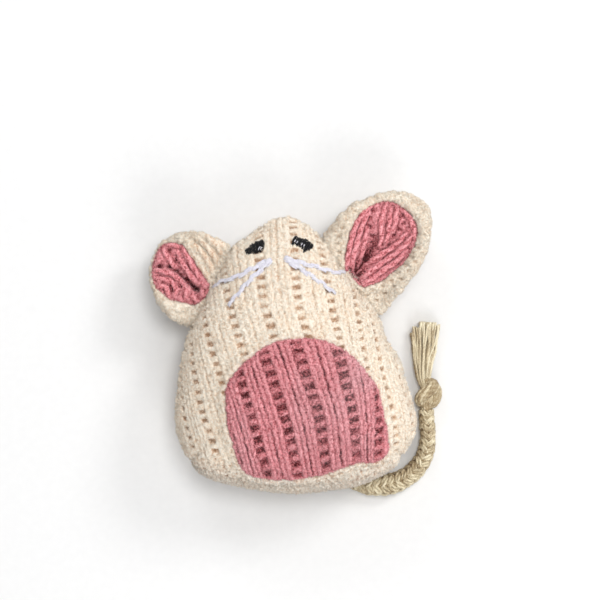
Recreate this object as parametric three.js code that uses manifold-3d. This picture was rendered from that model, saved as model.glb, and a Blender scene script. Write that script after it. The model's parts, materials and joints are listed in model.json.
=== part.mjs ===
// Stuffed cat toy in the shape of a mouse, lying on its back.
// Units are millimetres. +Z points up out of the belly, +Y runs from the base to the crown.
// The origin is the middle of the flat face that the back rests on.
// Left and right are those of someone who looks down on the belly.

import * as THREE from 'three';
import Module from 'manifold-3d';
import { mergeVertices } from 'three/addons/utils/BufferGeometryUtils.js';

const wasm = await Module();
wasm.setup();

// Body
const bodyWidth = 87.4;
const bodyLength = 100.4;
const bellyHeight = 38;
const headHeight = 27;
const seamHeight = 16;
const restSink = 0.5;
const knitThickness = 2.4;
const clearance = 0.3;
const gussetCornerInset = 12.4;
const gussetBow = 8.4;
const cutOverrun = 10;

// Ladder columns and rib grooves of the knit
const ladderWidth = 3.2;
const ladderDepth = 1.1;
const ribGrooveWidth = 1.5;
const ribGrooveDepth = 0.7;

// Belly patch
const patchWidth = 59.6;
const patchLength = 49.5;
const patchThickness = 1.8;
const patchSideShift = 4;

// Face
const eyeLength = 7.6;
const eyeWidth = 4;
const eyeRelief = 0.8;
const glintRadius = 0.6;
const glintRelief = 0.4;
const whiskerRadius = 0.4;

// Ears
const rightEarLength = 36.2;
const leftEarLength = 21.9;
const earHemRadius = 1.3;
const earBackThickness = 2.4;
const earLiningThickness = 2.2;
const earRimRelief = 0.7;
const rightEarCup = 6;
const leftEarCup = 4;

// Filling
const sachetWidth = 34;
const sachetLength = 42;
const sachetHeight = 12;
const muslinThickness = 0.6;
const closingThreadRadius = 0.35;
const closingStitchReach = 1.7;
const closingSeamLength = 30;

// Tail
const tailRootRadius = 2.6;
const tailRootLength = 11;
const knotWidth = 10.4;
const knotLength = 10.6;
const knotHeight = 9;
const knotWrapThickness = 4.2;
const knotWrapSpan = 13.4;
const knotWrapTurn = 48;
const tasselLength = 22.5;
const tasselWidth = 11;
const tasselHeight = 5.2;

// Facets
const bodySteps = 42;
const patchSteps = 30;
const earSteps = 26;
const eyeSteps = 14;
const threadSides = 6;
const channelSides = 8;
const channelSteps = 9;
const ropeSides = 10;
const ropeSteps = 20;
const tasselSides = 36;
const bodyRingShares = [1, 0.985, 0.94, 0.86, 0.73, 0.54, 0.28];
const patchRingShares = [1, 0.8, 0.55, 0.28];
const padRingShares = [1, 0.95, 0.8, 0.5];
const stitchRingShares = [1, 0.6];

// Body outline, as shares of half the width and half the length, from the crown over the left side
const bodyOutlineShares = [
  [-0.1, 1], [-0.28, 0.93], [-0.41, 0.85], [-0.533, 0.775], [-0.647, 0.582], [-0.762, 0.388],
  [-0.876, 0.195], [-0.94, 0.01], [-0.98, -0.22], [-1, -0.48], [-0.955, -0.66], [-0.88, -0.78],
  [-0.8, -0.86], [-0.62, -0.92], [-0.42, -0.96], [-0.2, -0.99], [0.03, -1], [0.28, -0.98],
  [0.5, -0.95], [0.69, -0.88], [0.83, -0.8], [0.92, -0.69], [0.985, -0.58], [1, -0.5],
  [0.97, -0.37], [0.91, -0.2], [0.86, -0.05], [0.75, 0.11], [0.68, 0.285], [0.52, 0.472],
  [0.36, 0.66], [0.204, 0.847], [0.1, 0.93], [-0.02, 0.99],
];

// Ends of the stretch of side seam that holds each ear, as the same shares
const rightEarSeamShares = [[0.68, 0.285], [0.204, 0.847]];
const leftEarSeamShares = [[-0.533, 0.775], [-0.876, 0.195]];

// Ear outlines: outward from the hem as shares of the length, along it as shares of half the hem
const rightEarShares = [
  [0, -1], [0.2, -0.9], [0.43, -0.79], [0.67, -0.58], [0.83, -0.32], [0.95, -0.02], [1, 0.2],
  [0.97, 0.5], [0.85, 0.82], [0.64, 1.02], [0.4, 1.16], [0.17, 1.07], [0, 1],
];
const rightLiningShares = [
  [0.09, -0.28], [0.3, -0.38], [0.55, -0.36], [0.75, -0.15], [0.82, 0.2], [0.78, 0.6],
  [0.64, 0.88], [0.46, 0.98], [0.3, 0.82], [0.15, 0.5], [0.08, 0.15],
];
const leftEarShares = [
  [0, -1], [0.2, -0.99], [0.45, -0.97], [0.7, -0.85], [0.87, -0.64], [0.99, -0.38], [1, 0],
  [0.93, 0.33], [0.79, 0.58], [0.61, 0.79], [0.42, 0.92], [0.2, 1.0], [0, 1],
];
const leftLiningShares = [
  [0.11, 0], [0.26, -0.16], [0.5, -0.33], [0.72, -0.48], [0.9, -0.34], [0.93, 0],
  [0.84, 0.28], [0.62, 0.6], [0.38, 0.6], [0.16, 0.42],
];

// Directions in which the ears are folded, in degrees from straight out
const rightEarFoldTurn = 21;
const leftEarFoldTurn = -10;
const earFoldStartShare = 0.1;

// Patch outline, as shares of half its width and half its length
const patchOutlineShares = [
  [-1, 0.24], [-0.98, -0.08], [-0.93, -0.53], [-0.86, -0.8], [-0.65, -0.93], [-0.19, -1],
  [0.15, -0.93], [0.61, -0.78], [0.88, -0.76], [1, -0.6], [0.99, -0.3], [0.87, 0.23],
  [0.68, 0.61], [0.44, 0.85], [-0.05, 1], [-0.5, 0.89], [-0.83, 0.61],
];

// Ladder columns of the front as far as the patch, as shares of half the body's width and length
const frontLadderShares = [
  [[-0.935, -0.36], [-0.91, -0.48], [-0.835, -0.71]],
  [[-0.85, -0.1], [-0.8, -0.32], [-0.71, -0.6], [-0.61, -0.82]],
  [[-0.75, 0.2], [-0.7, 0.05], [-0.63, -0.14]],
  [[-0.6, 0.53], [-0.55, 0.36], [-0.47, 0.12], [-0.43, 0.01]],
  [[-0.295, 0.68], [-0.275, 0.45], [-0.24, 0.3], [-0.19, 0.15]],
  [[-0.01, 0.72], [0.003, 0.48], [0.035, 0.31], [0.09, 0.17]],
  [[0.225, 0.7], [0.27, 0.48], [0.32, 0.26], [0.365, 0.09]],
  [[0.5, 0.38], [0.535, 0.22], [0.57, 0.02], [0.585, -0.07]],
  [[0.65, 0.15], [0.71, -0.1], [0.785, -0.36], [0.82, -0.56], [0.825, -0.69]],
];

// Ladder columns and rib grooves of the patch, as shares of half its own width and length
const patchLadderShares = [
  [[-0.785, 0.38], [-0.7, 0.05], [-0.6, -0.38], [-0.53, -0.7]],
  [[-0.5, 0.7], [-0.38, 0.28], [-0.23, -0.26], [-0.135, -0.8]],
  [[-0.14, 0.86], [0, 0.44], [0.135, -0.01], [0.19, -0.5], [0.22, -0.75]],
  [[0.41, 0.66], [0.5, 0.2], [0.575, -0.25], [0.6, -0.63]],
  [[0.82, 0.12], [0.82, -0.25], [0.81, -0.6]],
];
const patchGrooveShares = [
  [[-0.64, 0.54], [-0.54, 0.16], [-0.41, -0.32], [-0.34, -0.74]],
  [[-0.32, 0.78], [-0.19, 0.36], [-0.05, -0.14], [0.03, -0.78]],
  [[0.14, 0.78], [0.25, 0.3], [0.36, -0.13], [0.4, -0.66]],
  [[0.64, 0.42], [0.67, 0.05], [0.7, -0.25], [0.71, -0.62]],
];

// Face, as shares of half the body's width and half its length
const leftEyeCentreShares = [-0.335, 0.78];
const rightEyeCentreShares = [0.055, 0.8];
const leftEyeTurn = 34;
const rightEyeTurn = -26;
const leftGlintShares = [-0.29, 0.768];
const rightGlintShares = [0.015, 0.812];
const whiskerShares = {
  left_upper_whisker: [[-0.204, 0.698], [-0.33, 0.64], [-0.45, 0.58], [-0.6, 0.53], [-0.665, 0.5]],
  left_lower_whisker: [[-0.214, 0.67], [-0.285, 0.615], [-0.37, 0.545], [-0.47, 0.445], [-0.56, 0.36]],
  right_upper_whisker: [[-0.095, 0.698], [0.025, 0.672], [0.165, 0.638], [0.27, 0.604], [0.38, 0.59]],
  right_lower_whisker: [[-0.085, 0.67], [0.025, 0.623], [0.125, 0.568], [0.225, 0.508], [0.325, 0.434]],
};

// Tail route from the pivot at the seam to the knot, with the rope's radius at each point
const tailRoute = [
  [17.1, -44.7, 4.9, 2.6],
  [20, -46, 4.3, 2.9],
  [23.2, -47, 3.9, 3.3],
  [26.6, -47.8, 3.75, 3.55],
  [30, -48.1, 3.75, 3.65],
  [33.4, -47.9, 3.7, 3.6],
  [36.8, -47, 3.6, 3.5],
  [40, -45.5, 3.5, 3.4],
  [42.8, -43.5, 3.35, 3.25],
  [45.2, -40.9, 3.2, 3.1],
  [47, -37.8, 3.05, 2.95],
  [48.1, -34.4, 2.9, 2.8],
  [48.5, -30.9, 2.8, 2.7],
  [48.4, -27.4, 2.75, 2.65],
  [48.1, -24, 2.75, 2.65],
  [47.9, -20.6, 2.8, 2.65],
];
const tailRootDirection = new THREE.Vector3(-0.15, 0.8, 0.58).normalize();

// Tassel sections: shares of its length, its width, its height and its sideways drift
const tasselStations = [
  [0, 0.44, 0.95, 0], [0.16, 0.47, 0.98, 0], [0.32, 0.56, 1, -0.01], [0.5, 0.74, 0.95, -0.02],
  [0.7, 0.9, 0.85, -0.03], [0.88, 0.98, 0.72, -0.02], [1, 1, 0.62, -0.01],
];

const creamChenille = new THREE.MeshStandardMaterial({ color: 0xecdcc4, roughness: 0.95 });
const pinkChenille = new THREE.MeshStandardMaterial({ color: 0xd68890, roughness: 0.95 });
const blackThread = new THREE.MeshStandardMaterial({ color: 0x17171a, roughness: 0.6 });
const whiteThread = new THREE.MeshStandardMaterial({ color: 0xe4e2f0, roughness: 0.6 });
const cottonRope = new THREE.MeshStandardMaterial({ color: 0xd6c9a2, roughness: 0.85 });
const polyesterWadding = new THREE.MeshStandardMaterial({ color: 0xf5f5f2, roughness: 1 });
const muslin = new THREE.MeshStandardMaterial({ color: 0xe9e4d6, roughness: 0.95 });
const driedHerb = new THREE.MeshStandardMaterial({ color: 0x6b7445, roughness: 1 });

// Solids from closed meshes, and back

function solidOf(geometry) {
  const bare = geometry.index ? geometry : mergeVertices(stripped(geometry));
  const welded = mergeVertices(stripped(bare));
  return new wasm.Manifold(new wasm.Mesh({
    numProp: 3,
    vertProperties: new Float32Array(welded.attributes.position.array),
    triVerts: new Uint32Array(welded.index.array),
  }));
}

function stripped(geometry) {
  const copy = geometry.clone();
  copy.deleteAttribute('normal');
  copy.deleteAttribute('uv');
  return copy;
}

function geometryOf(solid) {
  const mesh = solid.getMesh();
  const geometry = new THREE.BufferGeometry();
  geometry.setAttribute('position', new THREE.BufferAttribute(mesh.vertProperties, 3));
  geometry.setIndex(new THREE.BufferAttribute(mesh.triVerts, 1));
  geometry.computeVertexNormals();
  return geometry;
}

// Stack of rings with as many points each, closed by a point or a flat fan at both ends
function skinnedRings(rings) {
  const count = rings[0].length;
  const positions = rings.flat().flatMap((point) => point.toArray());
  const triangles = [];
  for (let ring = 0; ring + 1 < rings.length; ring += 1) {
    for (let i = 0; i < count; i += 1) {
      const next = (i + 1) % count;
      const low = ring * count;
      const high = low + count;
      triangles.push(low + i, low + next, high + next, low + i, high + next, high + i);
    }
  }
  const ends = [[0, true], [rings.length - 1, false]];
  for (const [ring, reversed] of ends) {
    const middle = new THREE.Vector3();
    rings[ring].forEach((point) => middle.add(point));
    const centre = positions.length / 3;
    positions.push(...middle.divideScalar(count).toArray());
    for (let i = 0; i < count; i += 1) {
      const a = ring * count + i;
      const b = ring * count + (i + 1) % count;
      triangles.push(...(reversed ? [centre, b, a] : [centre, a, b]));
    }
  }
  const geometry = new THREE.BufferGeometry();
  geometry.setAttribute('position', new THREE.Float32BufferAttribute(positions, 3));
  geometry.setIndex(triangles);
  return geometry;
}

// Pad over an outline: rings shrink to the middle below, and grow back out above
function padSolid(outline, middle, ringShares, bottomPoint, topPoint) {
  const ringAt = (share, pointAt) => outline.map((rim) => {
    const place = middle.clone().lerp(rim, share);
    return pointAt(place.x, place.y, share);
  });
  const inward = [...ringShares].reverse();
  const rings = [
    ...inward.map((share) => ringAt(share, bottomPoint)),
    ...ringShares.map((share) => ringAt(share, topPoint)),
  ];
  return solidOf(withoutSlivers(skinnedRings(rings)));
}

// Where two rings meet along the rim their points merge, and the triangles between them go
function withoutSlivers(geometry) {
  const welded = mergeVertices(geometry);
  const kept = [];
  const index = welded.index.array;
  for (let i = 0; i < index.length; i += 3) {
    const [a, b, c] = [index[i], index[i + 1], index[i + 2]];
    if (a !== b && b !== c && c !== a) kept.push(a, b, c);
  }
  welded.setIndex(kept);
  return welded;
}

function smoothOutline(shares, sizeX, sizeY, count, closed = true) {
  const points = shares.map(([x, y]) => new THREE.Vector3(x * sizeX, y * sizeY, 0));
  const spaced = new THREE.CatmullRomCurve3(points, closed, 'centripetal').getSpacedPoints(count);
  return closed ? spaced.slice(0, -1) : spaced;
}

function insetOutline(outline, distance) {
  return outline.map((point, i) => {
    const before = outline[(i + outline.length - 1) % outline.length];
    const after = outline[(i + 1) % outline.length];
    const along = after.clone().sub(before).normalize();
    return new THREE.Vector3(point.x - along.y * distance, point.y + along.x * distance, 0);
  });
}

function placeOf(shares) {
  return new THREE.Vector2(shares[0] * bodyWidth / 2, shares[1] * bodyLength / 2);
}

// Body surface

const bodyOutline = smoothOutline(bodyOutlineShares, bodyWidth / 2, bodyLength / 2, bodySteps);
const middleOfBody = new THREE.Vector3();

// How far a place lies from the middle, as a share of the way to the outline
function rimShare(x, y) {
  for (let i = 0; i < bodyOutline.length; i += 1) {
    const a = bodyOutline[i];
    const b = bodyOutline[(i + 1) % bodyOutline.length];
    const before = a.x * y - a.y * x;
    const after = b.x * y - b.y * x;
    if (before >= 0 && after < 0 && a.x * x + a.y * y > 0) {
      const split = before / (before - after);
      const rim = a.clone().lerp(b, split);
      return Math.hypot(x, y) / rim.length();
    }
  }
  return 0;
}

function baseWeight(x, y) {
  const downward = -y / Math.max(Math.hypot(x, y), clearance);
  return THREE.MathUtils.smoothstep(downward, 0.35, 0.85);
}

function roundedDrop(share, exponent) {
  return Math.max(0, 1 - share ** exponent) ** (1 / exponent);
}

function frontHeight(x, y, share, inset) {
  const headward = THREE.MathUtils.smoothstep(y / bodyLength, -0.1, 0.5);
  const ridge = THREE.MathUtils.lerp(bellyHeight, headHeight, headward) - inset;
  const exponent = 2.2 + 0.5 * baseWeight(x, y);
  return seamHeight + (ridge - seamHeight) * roundedDrop(share, exponent);
}

function backHeight(x, y, share, inset) {
  const exponent = 3.4 - 0.9 * baseWeight(x, y);
  const depth = seamHeight + restSink - inset;
  return Math.max(inset, seamHeight - depth * roundedDrop(share, exponent));
}

function bodySolid(inset) {
  return padSolid(
    insetOutline(bodyOutline, inset), middleOfBody, bodyRingShares,
    (x, y, share) => new THREE.Vector3(x, y, backHeight(x, y, share, inset)),
    (x, y, share) => new THREE.Vector3(x, y, frontHeight(x, y, share, inset)),
  );
}

// Point a given distance off the body's outer surface
function liftedPoint(heightAt, side, x, y, lift) {
  const step = clearance;
  const z = heightAt(x, y, rimShare(x, y), 0);
  const slopeX = (heightAt(x + step, y, rimShare(x + step, y), 0) - z) / step;
  const slopeY = (heightAt(x, y + step, rimShare(x, y + step), 0) - z) / step;
  const away = new THREE.Vector3(-slopeX, -slopeY, 1).normalize().multiplyScalar(side * lift);
  return new THREE.Vector3(x, y, z).add(away);
}

function frontPoint(x, y, lift) {
  return liftedPoint(frontHeight, 1, x, y, lift);
}

function backPoint(x, y, lift) {
  return liftedPoint(backHeight, -1, x, y, lift);
}

// Cutting tools

const gussetCornerY = -bodyLength / 2 + gussetCornerInset;

function gussetSeamY(x) {
  return gussetCornerY - gussetBow * (1 - (2 * x / bodyWidth) ** 2);
}

// Everything on the base side of the gusset's seam, moved a little along Y
function gussetSide(shift) {
  const half = bodyWidth / 2;
  const edge = gussetCornerY + shift;
  const reach = half + cutOverrun;
  const shape = new THREE.Shape();
  shape.moveTo(-half, edge);
  shape.quadraticCurveTo(0, edge - 2 * gussetBow, half, edge);
  shape.lineTo(reach, edge);
  shape.lineTo(reach, edge - bodyLength);
  shape.lineTo(-reach, edge - bodyLength);
  shape.lineTo(-reach, edge);
  const depth = bellyHeight + 2 * cutOverrun;
  const block = new THREE.ExtrudeGeometry(shape, { depth, bevelEnabled: false, curveSegments: 14 });
  return solidOf(block.translate(0, 0, -cutOverrun));
}

function slabBetween(low, high) {
  const side = bodyLength + bodyWidth;
  const slab = new THREE.BoxGeometry(side, side, high - low);
  return solidOf(slab.translate(0, 0, (low + high) / 2));
}

const aboveSeam = slabBetween(seamHeight + clearance / 2, bellyHeight + cutOverrun);
const belowSeam = slabBetween(-cutOverrun, seamHeight - clearance / 2);

// Thread or rope along a path, with round ends on request

function rod(from, direction, length, radius, sides = 12) {
  const cylinder = new THREE.CylinderGeometry(radius, radius, length, sides);
  cylinder.translate(0, length / 2, 0);
  const turn = new THREE.Quaternion().setFromUnitVectors(new THREE.Vector3(0, 1, 0), direction);
  cylinder.applyQuaternion(turn);
  return solidOf(cylinder.translate(from.x, from.y, from.z));
}

function threadGeometry(points, radius, steps, sides = threadSides) {
  const section = new THREE.Shape();
  section.absarc(0, 0, radius, 0, 2 * Math.PI);
  const path = new THREE.CatmullRomCurve3(points, false, 'centripetal');
  return new THREE.ExtrudeGeometry(section, {
    steps,
    extrudePath: path,
    curveSegments: sides / 2,
    bevelEnabled: false,
  });
}

// Round-bottomed channel along a route, as wide and as deep as asked in the surface that it cuts
function channel(shares, sizeX, sizeY, middle, surfaceLift, width, depth) {
  const radius = ((width / 2) ** 2 + depth ** 2) / (2 * depth);
  const points = smoothOutline(shares, sizeX, sizeY, channelSteps, false)
    .map((point) => point.add(middle))
    .map((point) => frontPoint(point.x, point.y, surfaceLift + radius - depth));
  return solidOf(threadGeometry(points, radius, channelSteps, channelSides));
}

// Panels and gusset

const tailPivot = new THREE.Vector3(...tailRoute[0].slice(0, 3));
const tailRootStart = tailPivot.clone().addScaledVector(tailRootDirection, tailRootRadius + clearance);

function tailRootSpace(growth) {
  const from = tailRootStart.clone().addScaledVector(tailRootDirection, -growth);
  return rod(from, tailRootDirection, tailRootLength + 2 * growth, tailRootRadius + growth);
}

function tailPort() {
  const ball = new THREE.SphereGeometry(tailRootRadius + clearance, 16, 12);
  const mouth = solidOf(ball.translate(tailPivot.x, tailPivot.y, tailPivot.z));
  return mouth.add(tailRootSpace(clearance));
}

const knitShell = bodySolid(0).subtract(bodySolid(knitThickness)).subtract(tailPort());

function frontPanel() {
  const ladders = frontLadderShares.map((shares) => channel(
    shares, bodyWidth / 2, bodyLength / 2, middleOfBody, 0, ladderWidth, ladderDepth,
  ));
  const panel = knitShell.intersect(aboveSeam).subtract(gussetSide(clearance / 2));
  return wasm.Manifold.difference([panel, ...ladders]);
}

function backPanel() {
  return knitShell.intersect(belowSeam).subtract(gussetSide(clearance / 2));
}

function baseGusset() {
  return knitShell.intersect(gussetSide(-clearance / 2));
}

// What is sewn on the front is seated a clearance above the panel

const grownBody = bodySolid(-clearance);

function seatedPad(outline, middle, ringShares, topPoint) {
  const sunk = (x, y) => frontPoint(x, y, -knitThickness);
  return padSolid(outline, middle, ringShares, sunk, topPoint).subtract(grownBody);
}

// Belly patch

function bellyPatch() {
  const middle = new THREE.Vector3(
    patchSideShift,
    gussetSeamY(0) + patchThickness + patchLength / 2,
    0,
  );
  const outline = smoothOutline(patchOutlineShares, patchWidth / 2, patchLength / 2, patchSteps)
    .map((point) => point.add(middle));
  const lift = clearance + patchThickness;
  const pad = seatedPad(outline, middle, patchRingShares, (x, y) => frontPoint(x, y, lift));
  const cutAlong = (width, depth) => (shares) => channel(
    shares, patchWidth / 2, patchLength / 2, middle, lift, width, depth,
  );
  const ladders = patchLadderShares.map(cutAlong(ladderWidth, ladderDepth));
  const grooves = patchGrooveShares.map(cutAlong(ribGrooveWidth, ribGrooveDepth));
  return wasm.Manifold.difference([pad, ...ladders, ...grooves]);
}

// Face

// Oval outline, drawn out to points at both ends by its pointedness
function stitchOutline(centreShares, length, width, turn, pointedness) {
  const place = placeOf(centreShares);
  const middle = new THREE.Vector3(place.x, place.y, 0);
  const spin = THREE.MathUtils.degToRad(turn);
  const outline = [];
  for (let i = 0; i < eyeSteps; i += 1) {
    const angle = 2 * Math.PI * i / eyeSteps;
    const lens = Math.sin(angle) * Math.abs(Math.sin(angle)) ** pointedness;
    const point = new THREE.Vector3(Math.cos(angle) * length / 2, lens * width / 2, 0);
    outline.push(point.applyAxisAngle(new THREE.Vector3(0, 0, 1), spin).add(middle));
  }
  return { outline, middle };
}

// Satin stitches stand highest in the middle of the eye
function eye(centreShares, turn) {
  const { outline, middle } = stitchOutline(centreShares, eyeLength, eyeWidth, turn, 0.4);
  const relief = (share) => clearance + eyeRelief * (1 - 0.4 * share ** 2);
  return seatedPad(outline, middle, stitchRingShares, (x, y, share) => frontPoint(x, y, relief(share)));
}

function glint(centreShares) {
  const { outline, middle } = stitchOutline(centreShares, 2 * glintRadius, 2 * glintRadius, 0, 0);
  const low = 2 * clearance + eyeRelief;
  return padSolid(
    outline, middle, stitchRingShares,
    (x, y) => frontPoint(x, y, low),
    (x, y) => frontPoint(x, y, low + glintRelief),
  );
}

function whisker(shares) {
  const points = shares.map((pair) => {
    const place = placeOf(pair);
    return frontPoint(place.x, place.y, clearance + whiskerRadius);
  });
  return threadGeometry(points, whiskerRadius, 10);
}

// Ears

// A seam stretch on the body, with the hem's axis just outside it
function earSeat(seamShares) {
  const [start, end] = seamShares.map(placeOf);
  const along = end.clone().sub(start);
  const outward = new THREE.Vector2(along.y, -along.x).normalize();
  const middle = start.clone().add(end).multiplyScalar(0.5);
  middle.addScaledVector(outward, earHemRadius + clearance);
  return { middle, turn: Math.atan2(outward.y, outward.x), hemLength: along.length() };
}

function earSolids(ear) {
  const halfHem = ear.seat.hemLength / 2;
  const foldTurn = THREE.MathUtils.degToRad(ear.foldTurn);
  const foldStart = earFoldStartShare * ear.length;
  const outline = smoothOutline(ear.outlineShares, ear.length, halfHem, earSteps, false);
  const middle = new THREE.Vector3(ear.length * 0.45, 0, 0);

  const swell = (x) => THREE.MathUtils.smoothstep(x, 0, ear.length * 0.3);
  const cupFloor = (x, y) => {
    const across = -Math.sin(foldTurn) * (x - foldStart) + Math.cos(foldTurn) * y;
    return ear.cup * swell(x) * ((across / halfHem) ** 2 - 0.35);
  };
  const fullThickness = earBackThickness + clearance + earLiningThickness + earRimRelief;
  const halfDepth = (x) => THREE.MathUtils.lerp(earHemRadius, fullThickness / 2, swell(x));
  const rounding = (share) => 1 - 0.55 * share ** 6;
  const body = padSolid(
    outline, middle, [1, 0.93, 0.78, 0.5, 0.25],
    (x, y, share) => new THREE.Vector3(x, y, cupFloor(x, y) - halfDepth(x) * rounding(share)),
    (x, y, share) => new THREE.Vector3(x, y, cupFloor(x, y) + halfDepth(x) * rounding(share)),
  );
  const hemEnd = new THREE.Vector3(0, -halfHem + earHemRadius, 0);
  const hem = rod(hemEnd, new THREE.Vector3(0, 1, 0), 2 * (halfHem - earHemRadius), earHemRadius);

  const liningMiddle = new THREE.Vector3(ear.length * 0.5, halfHem * ear.liningShiftShare, 0);
  // The lining thins towards the hem as the ear does
  const liningPad = (growth, overrun) => {
    const rim = smoothOutline(ear.liningShares, ear.length, halfHem, earSteps);
    const thinning = (x) => THREE.MathUtils.lerp(0.45, 1, swell(x));
    const topOf = (x, y) => cupFloor(x, y) + halfDepth(x) - earRimRelief * thinning(x);
    return padSolid(
      insetOutline(rim, -growth), liningMiddle, padRingShares,
      (x, y) => new THREE.Vector3(x, y, topOf(x, y) - earLiningThickness * thinning(x) - growth),
      (x, y) => new THREE.Vector3(x, y, topOf(x, y) + overrun),
    );
  };
  return {
    back: body.add(hem).subtract(liningPad(clearance, ear.cup + cutOverrun)),
    lining: liningPad(0, 0),
  };
}

const ears = {
  right: {
    seat: earSeat(rightEarSeamShares),
    length: rightEarLength,
    cup: rightEarCup,
    foldTurn: rightEarFoldTurn,
    outlineShares: rightEarShares,
    liningShares: rightLiningShares,
    liningShiftShare: 0.2,
  },
  left: {
    seat: earSeat(leftEarSeamShares),
    length: leftEarLength,
    cup: leftEarCup,
    foldTurn: leftEarFoldTurn,
    outlineShares: leftEarShares,
    liningShares: leftLiningShares,
    liningShiftShare: 0,
  },
};

// Filling

const sachetMiddle = new THREE.Vector3(0, 0, 0);

function sachetPillow(inset) {
  const corner = [[1, 0.75], [0.94, 0.94], [0.75, 1], [0, 0.96]];
  const quarter = (sx, sy) => corner.map(([x, y]) => [sx * x, sy * y]);
  const shares = [
    ...quarter(1, 1), ...quarter(-1, 1).slice(0, -1).reverse(),
    ...quarter(-1, -1), ...quarter(1, -1).slice(0, -1).reverse(),
  ];
  const width = sachetWidth / 2 - inset;
  const length = sachetLength / 2 - inset;
  const height = sachetHeight / 2 - inset;
  const rise = (share) => height * roundedDrop(share, 2.4);
  return padSolid(
    smoothOutline(shares, width, length, 20), sachetMiddle, padRingShares,
    (x, y, share) => new THREE.Vector3(x, y, seamHeight - rise(share)),
    (x, y, share) => new THREE.Vector3(x, y, seamHeight + rise(share)),
  );
}

const waddingBlock = bodySolid(knitThickness + clearance)
  .subtract(sachetPillow(-clearance))
  .subtract(tailRootSpace(clearance));
const sachetShell = sachetPillow(0).subtract(sachetPillow(muslinThickness));

// One thread in a zigzag across the seam between back and gusset
function closingThread() {
  const stitchPitch = 2 * closingStitchReach;
  const count = Math.round(closingSeamLength / stitchPitch);
  const points = [];
  for (let i = 0; i <= 2 * count; i += 1) {
    const x = -bodyWidth / 4 + i * stitchPitch / 2;
    const side = i % 2 === 0 ? 1 : -1;
    points.push(backPoint(x, gussetSeamY(x) + side * closingStitchReach, clearance + closingThreadRadius));
  }
  return threadGeometry(points, closingThreadRadius, 4 * count);
}

// Tail

const ropePath = new THREE.CatmullRomCurve3(
  tailRoute.map(([x, y, z]) => new THREE.Vector3(x, y, z)), false, 'centripetal',
);

function ropeRadiusAt(t) {
  const place = t * (tailRoute.length - 1);
  const low = Math.min(Math.floor(place), tailRoute.length - 2);
  return THREE.MathUtils.lerp(tailRoute[low][3], tailRoute[low + 1][3], place - low);
}

// Ring of a rope or tassel, square to its path, never below the floor
function ringAround(centre, along, radius, sides) {
  const across = new THREE.Vector3().crossVectors(along, new THREE.Vector3(0, 0, 1)).normalize();
  const upward = new THREE.Vector3().crossVectors(across, along).normalize();
  const ring = [];
  for (let i = 0; i < sides; i += 1) {
    const angle = 2 * Math.PI * (i + 0.5) / sides;
    ring.push(centre.clone()
      .addScaledVector(across, radius * Math.cos(angle))
      .addScaledVector(upward, -radius * Math.sin(angle)));
  }
  return ring;
}

function tailRope() {
  const start = ropePath.getTangent(0);
  const rings = [];
  for (const turn of [75, 50, 25]) {
    const angle = THREE.MathUtils.degToRad(turn);
    const centre = tailPivot.clone().addScaledVector(start, -tailRootRadius * Math.sin(angle));
    rings.push(ringAround(centre, start, tailRootRadius * Math.cos(angle), ropeSides));
  }
  for (let i = 0; i <= ropeSteps; i += 1) {
    const t = i / ropeSteps;
    rings.push(ringAround(ropePath.getPoint(t), ropePath.getTangent(t), ropeRadiusAt(t), ropeSides));
  }
  return skinnedRings(rings);
}

const ropeEnd = new THREE.Vector3(...tailRoute.at(-1).slice(0, 3));
const ropeEndRadius = tailRoute.at(-1)[3];
const knotMiddle = new THREE.Vector3(ropeEnd.x, ropeEnd.y + clearance + knotLength / 2, knotHeight / 2);

// Barrel of the knot with the last turn slung over it from lower left to upper right
function tailKnot() {
  const turn = THREE.MathUtils.degToRad(knotWrapTurn);
  const core = new THREE.SphereGeometry(0.5, 16, 12);
  core.scale(knotWidth * 0.74, knotLength * 0.92, knotHeight * 0.86);
  const tubeShare = 0.6;
  const wrap = new THREE.TorusGeometry(1, tubeShare, 8, 20);
  wrap.rotateX(Math.PI / 2);
  const reach = 2 * (1 + tubeShare);
  wrap.scale(knotWrapSpan / reach, knotWrapThickness / (2 * tubeShare), knotHeight / reach);
  wrap.rotateZ(turn);
  const neckLow = rod(
    new THREE.Vector3(0, -knotLength / 2, ropeEnd.z - knotMiddle.z),
    new THREE.Vector3(0, 1, 0), knotLength, ropeEndRadius,
  );
  const knot = solidOf(core).add(solidOf(wrap)).add(neckLow);
  return knot.translate(knotMiddle.x, knotMiddle.y, knotMiddle.z);
}

function tailTassel() {
  const start = knotMiddle.y + knotLength / 2 + clearance;
  const rings = tasselStations.map(([lengthShare, widthShare, heightShare, driftShare]) => {
    const ring = [];
    for (let i = 0; i < tasselSides; i += 1) {
      const angle = 2 * Math.PI * i / tasselSides;
      const flute = 1 - 0.09 * (1 + Math.cos(9 * angle)) * lengthShare;
      const ragged = 0.04 * Math.sin(5 * angle) * lengthShare ** 4;
      ring.push(new THREE.Vector3(
        knotMiddle.x + tasselWidth * (driftShare + 0.5 * widthShare * flute * Math.cos(angle)),
        start + tasselLength * (lengthShare + ragged),
        tasselHeight * heightShare * 0.5 * (1 - flute * Math.sin(angle)),
      ));
    }
    return ring;
  });
  return skinnedRings(rings);
}

// Assembly

function named(name, shape, material) {
  const geometry = shape instanceof THREE.BufferGeometry ? shape : geometryOf(shape);
  const mesh = new THREE.Mesh(geometry, material);
  mesh.name = name;
  return mesh;
}

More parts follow.
